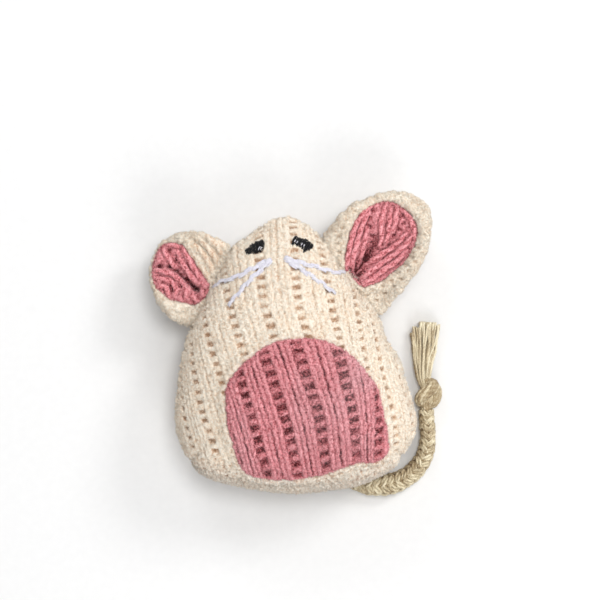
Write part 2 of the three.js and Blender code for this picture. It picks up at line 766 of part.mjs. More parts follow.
const mouse = new THREE.Group();
mouse.add(
  named('front_panel', frontPanel(), creamChenille),
  named('back_panel', backPanel(), creamChenille),
  named('base_gusset', baseGusset(), creamChenille),
  named('belly_patch', bellyPatch(), pinkChenille),
  named('left_eye', eye(leftEyeCentreShares, leftEyeTurn), blackThread),
  named('right_eye', eye(rightEyeCentreShares, rightEyeTurn), blackThread),
  named('left_eye_glint', glint(leftGlintShares), whiteThread),
  named('right_eye_glint', glint(rightGlintShares), whiteThread),
  named('front_wadding', waddingBlock.intersect(aboveSeam), polyesterWadding),
  named('back_wadding', waddingBlock.intersect(belowSeam), polyesterWadding),
  named('sachet_front', sachetShell.intersect(aboveSeam), muslin),
  named('sachet_back', sachetShell.intersect(belowSeam), muslin),
  named('dried_catnip', sachetPillow(muslinThickness + clearance), driedHerb),
  named('closing_thread', closingThread(), creamChenille),
  named('tail_root', tailRootSpace(0), cottonRope),
);
for (const [name, shares] of Object.entries(whiskerShares)) {
  mouse.add(named(name, whisker(shares), whiteThread));
}
for (const [side, ear] of Object.entries(ears)) {
  const { back, lining } = earSolids(ear);
  const group = new THREE.Group();
  group.position.set(ear.seat.middle.x, ear.seat.middle.y, seamHeight);
  group.rotation.z = ear.seat.turn;
  group.add(named(`${side}_ear_back`, back, creamChenille));
  group.add(named(`${side}_ear_lining`, lining, pinkChenille));
  mouse.add(group);
}

const tail = new THREE.Group();
tail.add(
  named('tail_rope', tailRope(), cottonRope),
  named('tail_knot', tailKnot(), cottonRope),
  named('tail_tassel', tailTassel(), cottonRope),
);
mouse.add(tail);

export default mouse;
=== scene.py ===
"""Looks of the stuffed mouse toy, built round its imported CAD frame.

The pattern of the knit is laid out in steps of the photograph, one of which is 0.3636 mm.
"""

import json
import math

import bpy
import numpy as np
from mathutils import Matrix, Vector


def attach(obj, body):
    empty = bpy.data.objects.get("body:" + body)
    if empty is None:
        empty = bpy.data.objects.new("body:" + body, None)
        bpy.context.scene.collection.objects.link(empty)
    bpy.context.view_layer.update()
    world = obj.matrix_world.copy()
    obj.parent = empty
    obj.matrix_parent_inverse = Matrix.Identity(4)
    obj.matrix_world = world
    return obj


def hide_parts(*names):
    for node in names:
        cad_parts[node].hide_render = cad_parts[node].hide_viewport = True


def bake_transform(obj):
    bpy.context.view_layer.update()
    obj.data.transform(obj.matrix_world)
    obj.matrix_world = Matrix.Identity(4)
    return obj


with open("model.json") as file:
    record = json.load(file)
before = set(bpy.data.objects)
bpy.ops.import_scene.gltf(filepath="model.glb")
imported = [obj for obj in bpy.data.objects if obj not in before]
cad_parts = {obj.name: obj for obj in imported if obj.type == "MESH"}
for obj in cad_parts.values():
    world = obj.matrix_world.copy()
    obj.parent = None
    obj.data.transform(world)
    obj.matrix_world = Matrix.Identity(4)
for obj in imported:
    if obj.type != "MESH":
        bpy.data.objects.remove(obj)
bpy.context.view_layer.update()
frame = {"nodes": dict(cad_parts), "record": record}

RANDOM_SEED = 11
rng = np.random.default_rng(RANDOM_SEED)

FULL_TURN = 2 * math.pi
TINY = 1e-6
MM = 0.001
STEP = 0.3636
STEP_ORIGIN = np.array([296.0, 355.0])

# Sizes shared with the part's source
BODY_HALF = np.array([43.7, 50.2])
BELLY_HEIGHT = 38.0
HEAD_HEIGHT = 27.0
SEAM_HEIGHT = 16.0
REST_SINK = 0.5
CLEARANCE = 0.3
GUSSET_CORNER_Y = -37.8
GUSSET_BOW = 8.4
PATCH_MIDDLE = np.array([4.0, -19.65])
PATCH_THICKNESS = 1.8

BODY_OUTLINE = [
    (-0.1, 1), (-0.28, 0.93), (-0.41, 0.85), (-0.533, 0.775), (-0.647, 0.582), (-0.762, 0.388),
    (-0.876, 0.195), (-0.94, 0.01), (-0.98, -0.22), (-1, -0.48), (-0.955, -0.66), (-0.88, -0.78),
    (-0.8, -0.86), (-0.62, -0.92), (-0.42, -0.96), (-0.2, -0.99), (0.03, -1), (0.28, -0.98),
    (0.5, -0.95), (0.69, -0.88), (0.83, -0.8), (0.92, -0.69), (0.985, -0.58), (1, -0.5),
    (0.97, -0.37), (0.91, -0.2), (0.86, -0.05), (0.75, 0.11), (0.68, 0.285), (0.52, 0.472),
    (0.36, 0.66), (0.204, 0.847), (0.1, 0.93), (-0.02, 0.99),
]
# Places along the middle of the rope, with its radius there
TAIL_ROUTE = np.array([
    (17.1, -44.7, 4.9, 2.6), (20, -46, 4.3, 2.9), (23.2, -47, 3.9, 3.3), (26.6, -47.8, 3.75, 3.55),
    (30, -48.1, 3.75, 3.65), (33.4, -47.9, 3.7, 3.6), (36.8, -47, 3.6, 3.5), (40, -45.5, 3.5, 3.4),
    (42.8, -43.5, 3.35, 3.25), (45.2, -40.9, 3.2, 3.1), (47, -37.8, 3.05, 2.95),
    (48.1, -34.4, 2.9, 2.8), (48.5, -30.9, 2.8, 2.7), (48.4, -27.4, 2.75, 2.65),
    (48.1, -24, 2.75, 2.65), (47.9, -20.6, 2.8, 2.65),
])
KNOT_MIDDLE = np.array([47.9, -15.0, 4.5])


# Numbers and noise

def smoothstep(value, low, high):
    share = np.clip((value - low) / (high - low), 0, 1)
    return share * share * (3 - 2 * share)


def lerp(a, b, share):
    return a + (b - a) * share


def bell(value, middle, width):
    """1 at the middle, and less on either side of it."""
    return np.exp(-((value - middle) / width) ** 2)


def unit(vectors):
    """The same directions, each of length 1."""
    return vectors / np.linalg.norm(vectors, axis=-1, keepdims=True)


def wrapped(turn):
    """The same direction as an angle within half a turn of 0."""
    return (turn + math.pi) % FULL_TURN - math.pi


def flat_points(x, y):
    return np.column_stack([x, y, np.zeros(len(x))])


def steps_to_mm(points):
    """Places given in steps of the photograph, as millimetres in the row frame."""
    return (np.asarray(points, float) - STEP_ORIGIN) * (STEP, -STEP)


def mm_to_steps(x, y):
    return x / STEP + STEP_ORIGIN[0], STEP_ORIGIN[1] - y / STEP


LATTICE_SIZE = 48
LATTICE = rng.random((LATTICE_SIZE, LATTICE_SIZE, LATTICE_SIZE))
CELL_POINTS = rng.random((LATTICE_SIZE, LATTICE_SIZE, LATTICE_SIZE, 3))
# How far a seed moves the noise and the tufts
NOISE_SHIFT = 13.7
TUFT_SHIFT = 7.3


def noise(points, size, seed):
    """Smooth noise from -1 to 1 whose lumps are about that size."""
    place = points / size + NOISE_SHIFT * seed
    low = np.floor(place).astype(int)
    part = place - low
    part = part * part * (3 - 2 * part)
    total = np.zeros(len(points))
    for corner in np.ndindex(2, 2, 2):
        weight = np.prod(np.where(corner, part, 1 - part), axis=1)
        index = (low + corner) % LATTICE_SIZE
        total += weight * LATTICE[index[:, 0], index[:, 1], index[:, 2]]
    return 2 * total - 1


def tufts(points, size, seed):
    """Rounded tufts from 0 to 1, with creases between them."""
    place = points / size + TUFT_SHIFT * seed
    low = np.floor(place).astype(int)
    nearest = np.ones(len(points))
    for corner in np.ndindex(3, 3, 3):
        cell = low + np.array(corner) - 1
        index = cell % LATTICE_SIZE
        centre = cell + CELL_POINTS[index[:, 0], index[:, 1], index[:, 2]]
        nearest = np.minimum(nearest, ((place - centre) ** 2).sum(axis=1))
    return 1 - nearest


def lengths_along(path):
    """How far along a path each of its points lies."""
    return np.concatenate([[0], np.cumsum(np.linalg.norm(np.diff(path, axis=0), axis=1))])


SPAN_STEPS = 24


def smooth_curve(points, count, closed=False):
    """Centripetal Catmull-Rom curve through the points, in evenly spaced steps."""
    points = np.asarray(points, float)
    if closed:
        padded = np.vstack([points[-1:], points, points[:2]])
    else:
        padded = np.vstack([2 * points[0] - points[1], points, 2 * points[-1] - points[-2]])
    share = np.linspace(0, 1, SPAN_STEPS, endpoint=False)[:, None]
    pieces = []
    for p0, p1, p2, p3 in zip(padded, padded[1:], padded[2:], padded[3:]):
        spans = [max(np.linalg.norm(b - a), TINY) ** 0.5 for a, b in ((p0, p1), (p1, p2), (p2, p3))]
        t0, t1, t2, t3 = np.cumsum([0.0, *spans])
        t = t1 + (t2 - t1) * share
        a1 = ((t1 - t) * p0 + (t - t0) * p1) / (t1 - t0)
        a2 = ((t2 - t) * p1 + (t - t1) * p2) / (t2 - t1)
        a3 = ((t3 - t) * p2 + (t - t2) * p3) / (t3 - t2)
        b1 = ((t2 - t) * a1 + (t - t0) * a2) / (t2 - t0)
        b2 = ((t3 - t) * a2 + (t - t1) * a3) / (t3 - t1)
        pieces.append(((t2 - t) * b1 + (t - t1) * b2) / (t2 - t1))
    dense = np.vstack([*pieces, padded[-2:-1]])
    along = lengths_along(dense)
    wanted = np.linspace(0, along[-1], count, endpoint=not closed)
    return np.stack([np.interp(wanted, along, dense[:, k]) for k in range(dense.shape[1])], axis=1)


def reach_of(outline, turn):
    """How far an outline round the origin lies in each direction."""
    angles = np.arctan2(outline[:, 1], outline[:, 0])
    return np.interp(turn, angles, np.hypot(outline[:, 0], outline[:, 1]), period=FULL_TURN)


def place_in(outline, middle, turn, share):
    """Place in a direction from an outline's middle, a share of the way to the outline."""
    reach = reach_of(outline, turn) * share
    return middle[0] + reach * np.cos(turn), middle[1] + reach * np.sin(turn)


def inset_in(outline, middle, x, y):
    """How far inside an outline round its middle a place lies."""
    x, y = x - middle[0], y - middle[1]
    return reach_of(outline, np.arctan2(y, x)) - np.hypot(x, y)


# Meshes

def grid_quads(index):
    return np.stack(
        [index[:-1, :-1], index[:-1, 1:], index[1:, 1:], index[1:, :-1]], axis=-1
    ).reshape(-1, 4)


def border(index):
    """The outer numbers of a square of numbers, in order round it."""
    return np.concatenate([index[0], index[1:, -1], index[-1, -2::-1], index[-2:0:-1, 0]])


def disc_grid(size):
    """Square grid laid on a disc: each point's share of the way out, and its direction."""
    line = np.linspace(-1, 1, size)
    x, y = np.meshgrid(line, line)
    wide = np.abs(x) > np.abs(y)
    longer = np.where(wide, x, y)
    shorter = np.where(wide, y, x)
    slant = math.pi / 4 * shorter / longer
    turn = np.where(wide, slant, math.pi / 2 - slant) + np.where(longer < 0, math.pi, 0)
    return np.abs(longer).ravel(), turn.ravel()


class Shape:
    """Points and faces of one mesh, with values at the points."""

    def __init__(self):
        self.points = np.zeros((0, 3))
        self.quads = np.zeros((0, 4), int)
        self.triangles = np.zeros((0, 3), int)
        self.tone = np.zeros(0)
        self.cool = np.zeros(0)

    def add(self, points, quads=(), triangles=(), tone=0.0):
        start = len(self.points)
        self.points = np.vstack([self.points, points])
        if len(quads):
            self.quads = np.vstack([self.quads, np.asarray(quads) + start])
        if len(triangles):
            self.triangles = np.vstack([self.triangles, np.asarray(triangles) + start])
        self.tone = np.concatenate([self.tone, np.broadcast_to(tone, len(points))])
        if len(self.cool):
            self.cool = np.concatenate([self.cool, np.zeros(len(points))])
        return start

    def join(self, other):
        self.add(other.points, other.quads, other.triangles, other.tone)

    def normals(self):
        total = np.zeros_like(self.points)
        for faces in (self.quads, self.triangles):
            if not len(faces):
                continue
            corners = self.points[faces]
            across = np.cross(corners[:, 2] - corners[:, 0], corners[:, -1] - corners[:, 1])
            for k in range(faces.shape[1]):
                for axis in range(3):
                    total[:, axis] += np.bincount(
                        faces[:, k], across[:, axis], minlength=len(total))
        return total / np.maximum(np.linalg.norm(total, axis=1, keepdims=True), 1e-12)

    def face_outward(self):
        corners = [self.points[self.quads[:, k]] for k in (0, 1, 2)]
        others = [self.points[self.quads[:, k]] for k in (0, 2, 3)]
        volume = sum(
            np.einsum("ij,ij->i", a, np.cross(b, c)).sum() for a, b, c in (corners, others))
        if len(self.triangles):
            a, b, c = (self.points[self.triangles[:, k]] for k in range(3))
            volume += np.einsum("ij,ij->i", a, np.cross(b, c)).sum()
        if volume < 0:
            self.quads = self.quads[:, ::-1]
            self.triangles = self.triangles[:, ::-1]

    def build(self, name, material):
        mesh = bpy.data.meshes.new(name)
        mesh.from_pydata(
            (self.points * MM).tolist(), [], self.quads.tolist() + self.triangles.tolist())
        # The tone attribute holds painted shade and random tone, which each material turns into
        # colour
        tone = mesh.attributes.new("tone", "FLOAT", "POINT")
        tone.data.foreach_set("value", self.tone.astype(np.float32))
        if len(self.cool):
            cool = mesh.attributes.new("cool", "FLOAT", "POINT")
            cool.data.foreach_set("value", self.cool.astype(np.float32))
        mesh.shade_smooth()
        mesh.materials.append(material)
        made = bpy.data.objects.new(name, mesh)
        bpy.context.scene.collection.objects.link(made)
        return made


def pillow(size, ring_shares, top, bottom):
    """Closed shape: a fine sheet above and rings below that shrink to a point, both on one rim."""
    share, turn = disc_grid(size)
    index = np.arange(size * size).reshape(size, size)
    rim = border(index)
    shape = Shape()
    shape.add(top(turn, share), grid_quads(index))
    previous = rim
    for ring_share in ring_shares:
        start = shape.add(bottom(turn[rim], np.full(len(rim), ring_share)))
        ring = start + np.arange(len(rim))
        faces = np.stack([previous, ring, np.roll(ring, -1), np.roll(previous, -1)], axis=1)
        shape.quads = np.vstack([shape.quads, faces])
        previous = ring
    centre = shape.add(shape.points[previous].mean(axis=0)[None])
    fan = np.stack([previous, np.full(len(previous), centre), np.roll(previous, -1)], axis=1)
    shape.triangles = np.vstack([shape.triangles, fan])
    shape.face_outward()
    return shape, size * size


def slab(outer, inner):
    """Closed shape between two grids of points with the same rows and columns."""
    rows, columns = outer.shape[:2]
    count = rows * columns
    index = np.arange(count).reshape(rows, columns)
    shape = Shape()
    shape.add(outer.reshape(-1, 3), grid_quads(index))
    shape.add(inner.reshape(-1, 3), grid_quads(index)[:, ::-1])
    rim = border(index)
    after = np.roll(rim, -1)
    shape.quads = np.vstack([shape.quads, np.stack([rim, rim + count, after + count, after], 1)])
    shape.face_outward()
    return shape, count


# A path that starts steeper than this needs another direction to measure its sides from
STEEP = 0.9


def frames_along(path):
    """Direction of travel and two square to it at each point, without twist."""
    tangent = unit(np.gradient(path, axis=0))
    up = np.array([0.0, 0.0, 1.0])
    if abs(tangent[0] @ up) > STEEP:
        up = np.array([1.0, 0.0, 0.0])
    sides = [unit(np.cross(tangent[0], up))]
    for now in tangent[1:]:
        sides.append(unit(sides[-1] - now * (sides[-1] @ now)))
    sides = np.array(sides)
    return tangent, sides, np.cross(sides, tangent)


def spoke(across, up, angle):
    """Direction square to a path, at an angle round it."""
    return across * np.cos(angle)[:, None] + up * np.sin(angle)[:, None]


PLY_SHADE = 0.3


def tube(shape, path, radius, sides=8, plies=0, ply_pitch=3.0, ply_depth=0.16, flat=None,
         tone=0.0, lift=None):
    """Round or oval rod along a path. Its plies show as grooves that wind round it."""
    count = len(path)
    tangent, across, up = frames_along(path)
    if lift is not None:
        up = unit(lift)
        across = unit(np.cross(tangent, up))
        up = np.cross(across, tangent)
    radius = np.broadcast_to(radius, count)
    flat = radius if flat is None else np.broadcast_to(flat, count)
    angle = FULL_TURN * np.arange(sides) / sides
    wave = np.zeros((count, sides))
    if plies:
        wave = np.cos(plies * angle + FULL_TURN * lengths_along(path)[:, None] / ply_pitch)
        wave = ply_depth * (wave - 1) / 2
    ring = (
        path[:, None]
        + across[:, None] * (radius[:, None] * (1 + wave) * np.cos(angle))[..., None]
        + up[:, None] * (flat[:, None] * (1 + wave) * np.sin(angle))[..., None]
    )
    index = np.arange(count * sides).reshape(count, sides)
    after = np.roll(index, -1, axis=1)
    quads = np.stack([index[:-1], after[:-1], after[1:], index[1:]], axis=-1).reshape(-1, 4)
    start_cap, end_cap = np.full(sides, count * sides), np.full(sides, count * sides + 1)
    caps = np.vstack([
        np.stack([start_cap, after[0], index[0]], axis=1),
        np.stack([end_cap, index[-1], after[-1]], axis=1),
    ])
    tone = np.broadcast_to(tone, count)
    tones = (tone[:, None] - wave / ply_depth * PLY_SHADE).ravel()
    points = np.vstack([ring.reshape(-1, 3), path[:1], path[-1:]])
    shape.add(points, quads, caps, np.concatenate([tones, [tone[0], tone[-1]]]))


FIBRE_LENGTH = 0.72
FIBRE_RADIUS = 0.15
FIBRE_LIMIT = 46000
FIBRE_LEAN = 0.55
FIBRE_ROOT_DEPTH = 0.12
# Shortest and longest fibre, as shares of the length
FIBRE_REACH = (0.6, 1.25)
FIBRE_SPECKLE = 0.16
FIBRE_ROOT_SHADE = 0.14
FIBRE_TIP_LIGHT = 0.10
FIBRE_FLOOR = 0.02
# Fibres get sparser between these tones, which are those of the holes
HOLE_TONES = (0.45, 0.8)


def fibres_of(shape, sheet_quads, density, length=FIBRE_LENGTH, radius=FIBRE_RADIUS,
              speckle=FIBRE_SPECKLE):
    """Pile that stands on an outer face: slim closed spikes, sparse down in the holes."""
    quads = shape.quads[:sheet_quads]
    corners = shape.points[quads]
    area = np.linalg.norm(
        np.cross(corners[:, 2] - corners[:, 0], corners[:, 3] - corners[:, 1]), axis=1) / 2
    tone = shape.tone[quads].mean(axis=1)
    chance = area * (1.3 - smoothstep(tone, *HOLE_TONES))
    count = min(FIBRE_LIMIT, int(area.sum() * density))
    chosen = rng.choice(len(quads), count, p=chance / chance.sum())
    u, v = rng.random((2, count, 1))
    spot = corners[chosen]
    root = lerp(lerp(spot[:, 0], spot[:, 1], u), lerp(spot[:, 3], spot[:, 2], u), v)
    out = shape.normals()[quads[chosen, 0]]
    lean = rng.normal(0, FIBRE_LEAN, (count, 3))
    away = unit(out + lean - out * (lean * out).sum(axis=1, keepdims=True))
    side = unit(np.cross(away, rng.normal(0, 1, (count, 3))))
    other = np.cross(away, side)
    reach = length * lerp(*FIBRE_REACH, rng.random((count, 1)))
    base = root - FIBRE_ROOT_DEPTH * out
    points = np.empty((count, 4, 3))
    for k in range(3):
        angle = FULL_TURN * k / 3
        points[:, k] = base + radius * (math.cos(angle) * side + math.sin(angle) * other)
    points[:, 3] = root + away * reach
    points[..., 2] = np.maximum(points[..., 2], FIBRE_FLOOR)
    own_tone = tone[chosen][:, None] + speckle * (rng.random((count, 1)) - 0.5)
    tones = own_tone + [FIBRE_ROOT_SHADE, FIBRE_ROOT_SHADE, FIBRE_ROOT_SHADE, -FIBRE_TIP_LIGHT]
    first = 4 * np.arange(count)[:, None]
    triangles = np.concatenate(
        [first + np.array(face) for face in ((0, 1, 3), (1, 2, 3), (2, 0, 3), (2, 1, 0))])
    fibres = Shape()
    fibres.add(points.reshape(-1, 3), triangles=triangles, tone=np.clip(tones.ravel(), 0, 1))
    if len(shape.cool):
        fibres.cool = np.repeat(shape.cool[quads[chosen, 0]], 4)
    return fibres


# Camera and lamps

SENSOR_WIDTH = 36
CAMERA_LENS = 244
CAMERA_PLACE = (0.00145, 0.02, 1.5)
# Name, place, diameter and power
LAMPS = [
    ("front", (0.2, 0.25, 1.3), 0.5, 5.9), ("key", (0.8, 0.6, 0.75), 0.4, 4.7),
    ("fill", (0.4, -0.85, 0.6), 0.6, 4.2), ("head", (-0.4, 0.95, 0.65), 0.5, 2.4),
]
LAMP_AIM = (0, 0, 0.015)


def make_camera():
    data = bpy.data.cameras.new("camera")
    data.sensor_width = SENSOR_WIDTH
    data.lens = CAMERA_LENS
    camera = bpy.data.objects.new("camera", data)
    camera.location = CAMERA_PLACE
    bpy.context.scene.collection.objects.link(camera)
    bpy.context.scene.camera = camera


def make_lamp(name, place, size, power):
    data = bpy.data.lights.new(name, "AREA")
    data.shape = "DISK"
    data.size = size
    data.energy = power
    lamp = bpy.data.objects.new(name, data)
    lamp.location = place
    lamp.rotation_mode = "QUATERNION"
    lamp.rotation_quaternion = (Vector(LAMP_AIM) - Vector(place)).to_track_quat("-Z", "Y")
    bpy.context.scene.collection.objects.link(lamp)


# Materials

CLOTH_SPECULAR = 0.2


class Nodes:
    """Short way to write a material's nodes."""

    def __init__(self, name):
        self.material = bpy.data.materials.new(name)
        self.material.use_nodes = True
        self.tree = self.material.node_tree
        self.shader = self.tree.nodes["Principled BSDF"]
        self.place = self.node("ShaderNodeTexCoord").outputs["Object"]

    def node(self, kind, **settings):
        made = self.tree.nodes.new(kind)
        for key, value in settings.items():
            setattr(made, key, value)
        return made

    def link(self, source, target):
        self.tree.links.new(source, target)

    def texture(self, kind, size, **inputs):
        made = self.node(kind)
        self.link(self.place, made.inputs["Vector"])
        made.inputs["Scale"].default_value = 1 / (size * MM)
        for key, value in inputs.items():
            made.inputs[key].default_value = value
        return made

    def clouds(self, size, **inputs):
        return self.texture("ShaderNodeTexNoise", size, **inputs).outputs["Fac"]

    def cells(self, size):
        return self.texture("ShaderNodeTexVoronoi", size).outputs["Distance"]

    def attribute(self, name):
        return self.node("ShaderNodeAttribute", attribute_name=name).outputs["Fac"]

    def maths(self, operation, a, b, clamp=False):
        made = self.node("ShaderNodeMath", operation=operation, use_clamp=clamp)
        for socket, value in zip(made.inputs, (a, b)):
            if isinstance(value, (int, float)):
                socket.default_value = value
            else:
                self.link(value, socket)
        return made.outputs[0]

    def swing(self, value, middle, amount):
        """Distance of a value from a middle, times an amount."""
        return self.maths("MULTIPLY", self.maths("SUBTRACT", value, middle), amount)

    def ramp(self, factor, stops):
        made = self.node("ShaderNodeValToRGB")
        elements = made.color_ramp.elements
        while len(elements) < len(stops):
            elements.new(0.5)
        for element, (position, colour) in zip(elements, stops):
            element.position = position
            element.color = (*colour, 1)
        self.link(factor, made.inputs["Fac"])
        return made.outputs["Color"]

    def mix(self, factor, a, b, blend="MIX"):
        made = self.node("ShaderNodeMix", data_type="RGBA", blend_type=blend)
        for socket, value in zip((made.inputs[0], made.inputs[6], made.inputs[7]), (factor, a, b)):
            if isinstance(value, (int, float)):
                socket.default_value = value
            elif isinstance(value, tuple):
                socket.default_value = (*value, 1)
            else:
                self.link(value, socket)
        return made.outputs[2]

    def bump(self, height, distance, strength=0.8):
        made = self.node("ShaderNodeBump")
        made.inputs["Distance"].default_value = distance * MM
        made.inputs["Strength"].default_value = strength
        self.link(height, made.inputs["Height"])
        self.link(made.outputs["Normal"], self.shader.inputs["Normal"])

    def finish(self, colour, roughness, sheen=0.0, sheen_tint=(1, 1, 1), sheen_roughness=0.5):
        self.link(colour, self.shader.inputs["Base Color"])
        self.shader.inputs["Roughness"].default_value = roughness
        self.shader.inputs["Sheen Weight"].default_value = sheen
        self.shader.inputs["Sheen Tint"].default_value = (*sheen_tint, 1)
        self.shader.inputs["Sheen Roughness"].default_value = sheen_roughness
        self.shader.inputs["Specular IOR Level"].default_value = CLOTH_SPECULAR
        return self.material


def linear(red, green, blue):
    """Colour as seen on a screen, turned into light."""
    return tuple(
        c / 12.92 if c <= 0.04045 else ((c + 0.055) / 1.055) ** 2.4 for c in (red, green, blue))


# Colour of the cool, pale fuzz by the base
COOL_FUZZ = linear(0.93, 0.935, 0.945)


def chenille(name, stops, blush, sheen_tint, grain_and_shade):
    """Short velvet pile: tone runs from 0 on top of the yarn to 1 at the bottom of a hole, and is
    mostly painted shade.
    """
    n = Nodes(name)
    grain = n.clouds(0.6, Detail=3.0, Roughness=0.75)
    # The cell distance paints shade into the creases between tufts, and also bumps them
    tuft_gaps = n.cells(0.75)
    patchy = n.clouds(5.0, Detail=2.0)
    # Drift adds random grain and painted crease shade to the tone
    drift = n.maths("ADD", n.swing(grain, 0.5, grain_and_shade), n.swing(tuft_gaps, 0.38, 0.55 * grain_and_shade))
    colour = n.ramp(n.maths("ADD", n.attribute("tone"), drift, clamp=True), stops)
    warm = n.maths("MULTIPLY", n.maths("SUBTRACT", patchy, 0.42, clamp=True), 1.6, clamp=True)
    colour = n.mix(warm, colour, blush, "MULTIPLY")
    colour = n.mix(n.attribute("cool"), colour, COOL_FUZZ)
    n.bump(n.maths("ADD", n.maths("MULTIPLY", tuft_gaps, -0.6), grain), 0.35)
    return n.finish(colour, 0.95, 0.35, sheen_tint, 0.45)


# Colours from tone 0, the lit top of the yarn, to tone 1, painted shade deep in a hole or groove
CREAM_STOPS = [
    (0.0, linear(1.0, 0.97, 0.915)), (0.28, linear(0.98, 0.915, 0.835)),
    (0.6, linear(0.885, 0.765, 0.66)), (1.0, linear(0.72, 0.57, 0.45)),
]
PINK_STOPS = [
    (0.0, linear(1.0, 0.735, 0.755)), (0.28, linear(0.955, 0.635, 0.66)),
    (0.58, linear(0.82, 0.46, 0.48)), (0.84, linear(0.60, 0.30, 0.32)),
    (1.0, linear(0.38, 0.14, 0.15)),
]
ROPE_STOPS = [
    (0.0, linear(1.0, 0.97, 0.88)), (0.35, linear(0.90, 0.85, 0.73)),
    (0.7, linear(0.70, 0.62, 0.49)), (1.0, linear(0.43, 0.34, 0.24)),
]


# Tone here carries painted shade of the rope's grooves, core and one side, with random tone
def cotton(name, stops):
    n = Nodes(name)
    grain = n.clouds(0.35, Detail=4.0, Roughness=0.65)
    patchy = n.clouds(2.5, Detail=2.0)
    drift = n.maths("ADD", n.swing(grain, 0.5, 0.7), n.swing(patchy, 0.5, 0.35))
    colour = n.ramp(n.maths("ADD", n.attribute("tone"), drift, clamp=True), stops)
    n.bump(grain, 0.12)
    return n.finish(colour, 0.82, 0.15, (1, 0.97, 0.9))


def thread(name, dark, light, roughness, sheen):
    n = Nodes(name)
    grain = n.clouds(0.25, Detail=3.0)
    shade = n.maths("MULTIPLY", n.attribute("tone"), -0.8)
    amount = n.maths("ADD", shade, n.maths("MULTIPLY", grain, 1.3), clamp=True)
    n.bump(grain, 0.06, 0.7)
    return n.finish(n.mix(amount, dark, light), roughness, sheen, sheen_roughness=0.3)


def speckled(name, dark, light, size):
    """Plain finish for what lies inside: loose fibre, muslin and crumbled leaf."""
    n = Nodes(name)
    grain = n.clouds(size, Detail=5.0, Roughness=0.7)
    amount = n.maths("ADD", grain, n.maths("MULTIPLY", n.cells(size * 0.7), -0.35), clamp=True)
    n.bump(amount, size * 0.3)
    return n.finish(n.mix(amount, dark, light), 0.95, 0.1)


materials = {
    "cream_chenille": chenille(
        "cream_chenille", CREAM_STOPS, linear(1.0, 0.965, 0.93), (1.0, 0.97, 0.92), 0.95),
    "pink_chenille": chenille(
        "pink_chenille", PINK_STOPS, linear(0.97, 0.93, 0.94), (1.0, 0.86, 0.88), 1.5),
    "cotton_rope": cotton("cotton_rope", ROPE_STOPS),
    "black_thread": thread(
        "black_thread", linear(0.03, 0.03, 0.035), linear(0.13, 0.13, 0.145), 0.42, 0.1),
    "white_thread": thread(
        "white_thread", linear(0.925, 0.915, 0.965), linear(1.0, 1.0, 1.0), 0.7, 0.3),
    "sewing_thread": thread(
        "sewing_thread", linear(0.80, 0.73, 0.62), linear(0.95, 0.90, 0.82), 0.7, 0.1),
    "wadding": speckled("wadding", linear(0.88, 0.88, 0.87), linear(0.99, 0.99, 0.98), 0.9),
    "muslin": speckled("muslin", linear(0.80, 0.77, 0.70), linear(0.94, 0.92, 0.87), 0.35),
    "dried_herb": speckled("dried_herb", linear(0.25, 0.28, 0.14), linear(0.60, 0.62, 0.38), 1.1),
}


def made_piece(shape, name, slot, body="body"):
    """Builds a mesh, gives it its finish and lets it move with a body."""
    made = shape.build(name, materials[slot])
    if body:
        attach(made, body)
    return made


# Tail

STRANDS_EACH_WAY = 6
YARNS_IN_STRAND = 2
LOBE_PITCH = 2.7
# A yarn's half height as a share of the rope's radius, and its half width as a share of its room
YARN_HEIGHT = 0.15
YARN_WIDTH = 0.56
# How sharply a strand passes from over to under
PASSING = 1.6


def braid(shape, path, radius):
    """Rope braid, two strands over and two under, each strand two soft yarns side by side."""
    _, across, up = frames_along(path)
    along = lengths_along(path)
    share_turn = FULL_TURN / STRANDS_EACH_WAY
    turn = share_turn * along / LOBE_PITCH
    tall = YARN_HEIGHT * radius
    middle = radius - 1.5 * tall
    slope = share_turn / LOBE_PITCH * middle
    wide = YARN_WIDTH * share_turn * middle / YARNS_IN_STRAND / np.sqrt(1 + slope ** 2)
    # A dark core, painted shade, fills the gaps between the strands
    tube(shape, path, middle * 0.95, sides=12, tone=0.95)
    for way in (1, -1):
        for k in range(STRANDS_EACH_WAY):
            centre = share_turn * k + way * turn
            phase = FULL_TURN * rng.random(2)
            own_tone = 0.15 + 0.13 * np.sin(0.5 * along + phase[0])
            loose = 1 + 0.05 * np.sin(1.1 * along + phase[1])
            over = np.tanh(PASSING * way * np.cos(STRANDS_EACH_WAY / 2 * centre))
            over = over / math.tanh(PASSING)
            for j in range(YARNS_IN_STRAND):
                angle = centre + share_turn * ((j + 0.5) / YARNS_IN_STRAND - 0.5)
                out = spoke(across, up, angle)
                # Painted shade on the rope's left side, away from the light
                inner = 0.3 * np.clip(0.5 * out[:, 1] - 0.8 * out[:, 0], 0, 1)
                yarn = path + out * (middle * loose + 0.5 * tall * over)[:, None]
                # Strands passing under get painted shade; own_tone and the random part are the
                # yarn's own variation
                tone = np.clip(own_tone + 0.1 * rng.random() + 0.2 * (1 - over) + inner, 0, 1)
                tube(shape, yarn, wide * (1 + 0.2 * (rng.random() - 0.5)), sides=9, plies=2,
                     ply_pitch=2.3, ply_depth=0.22, flat=tall, tone=tone, lift=out)


KNOT_YARNS = 11
KNOT_TWIST_PITCH = 24.0


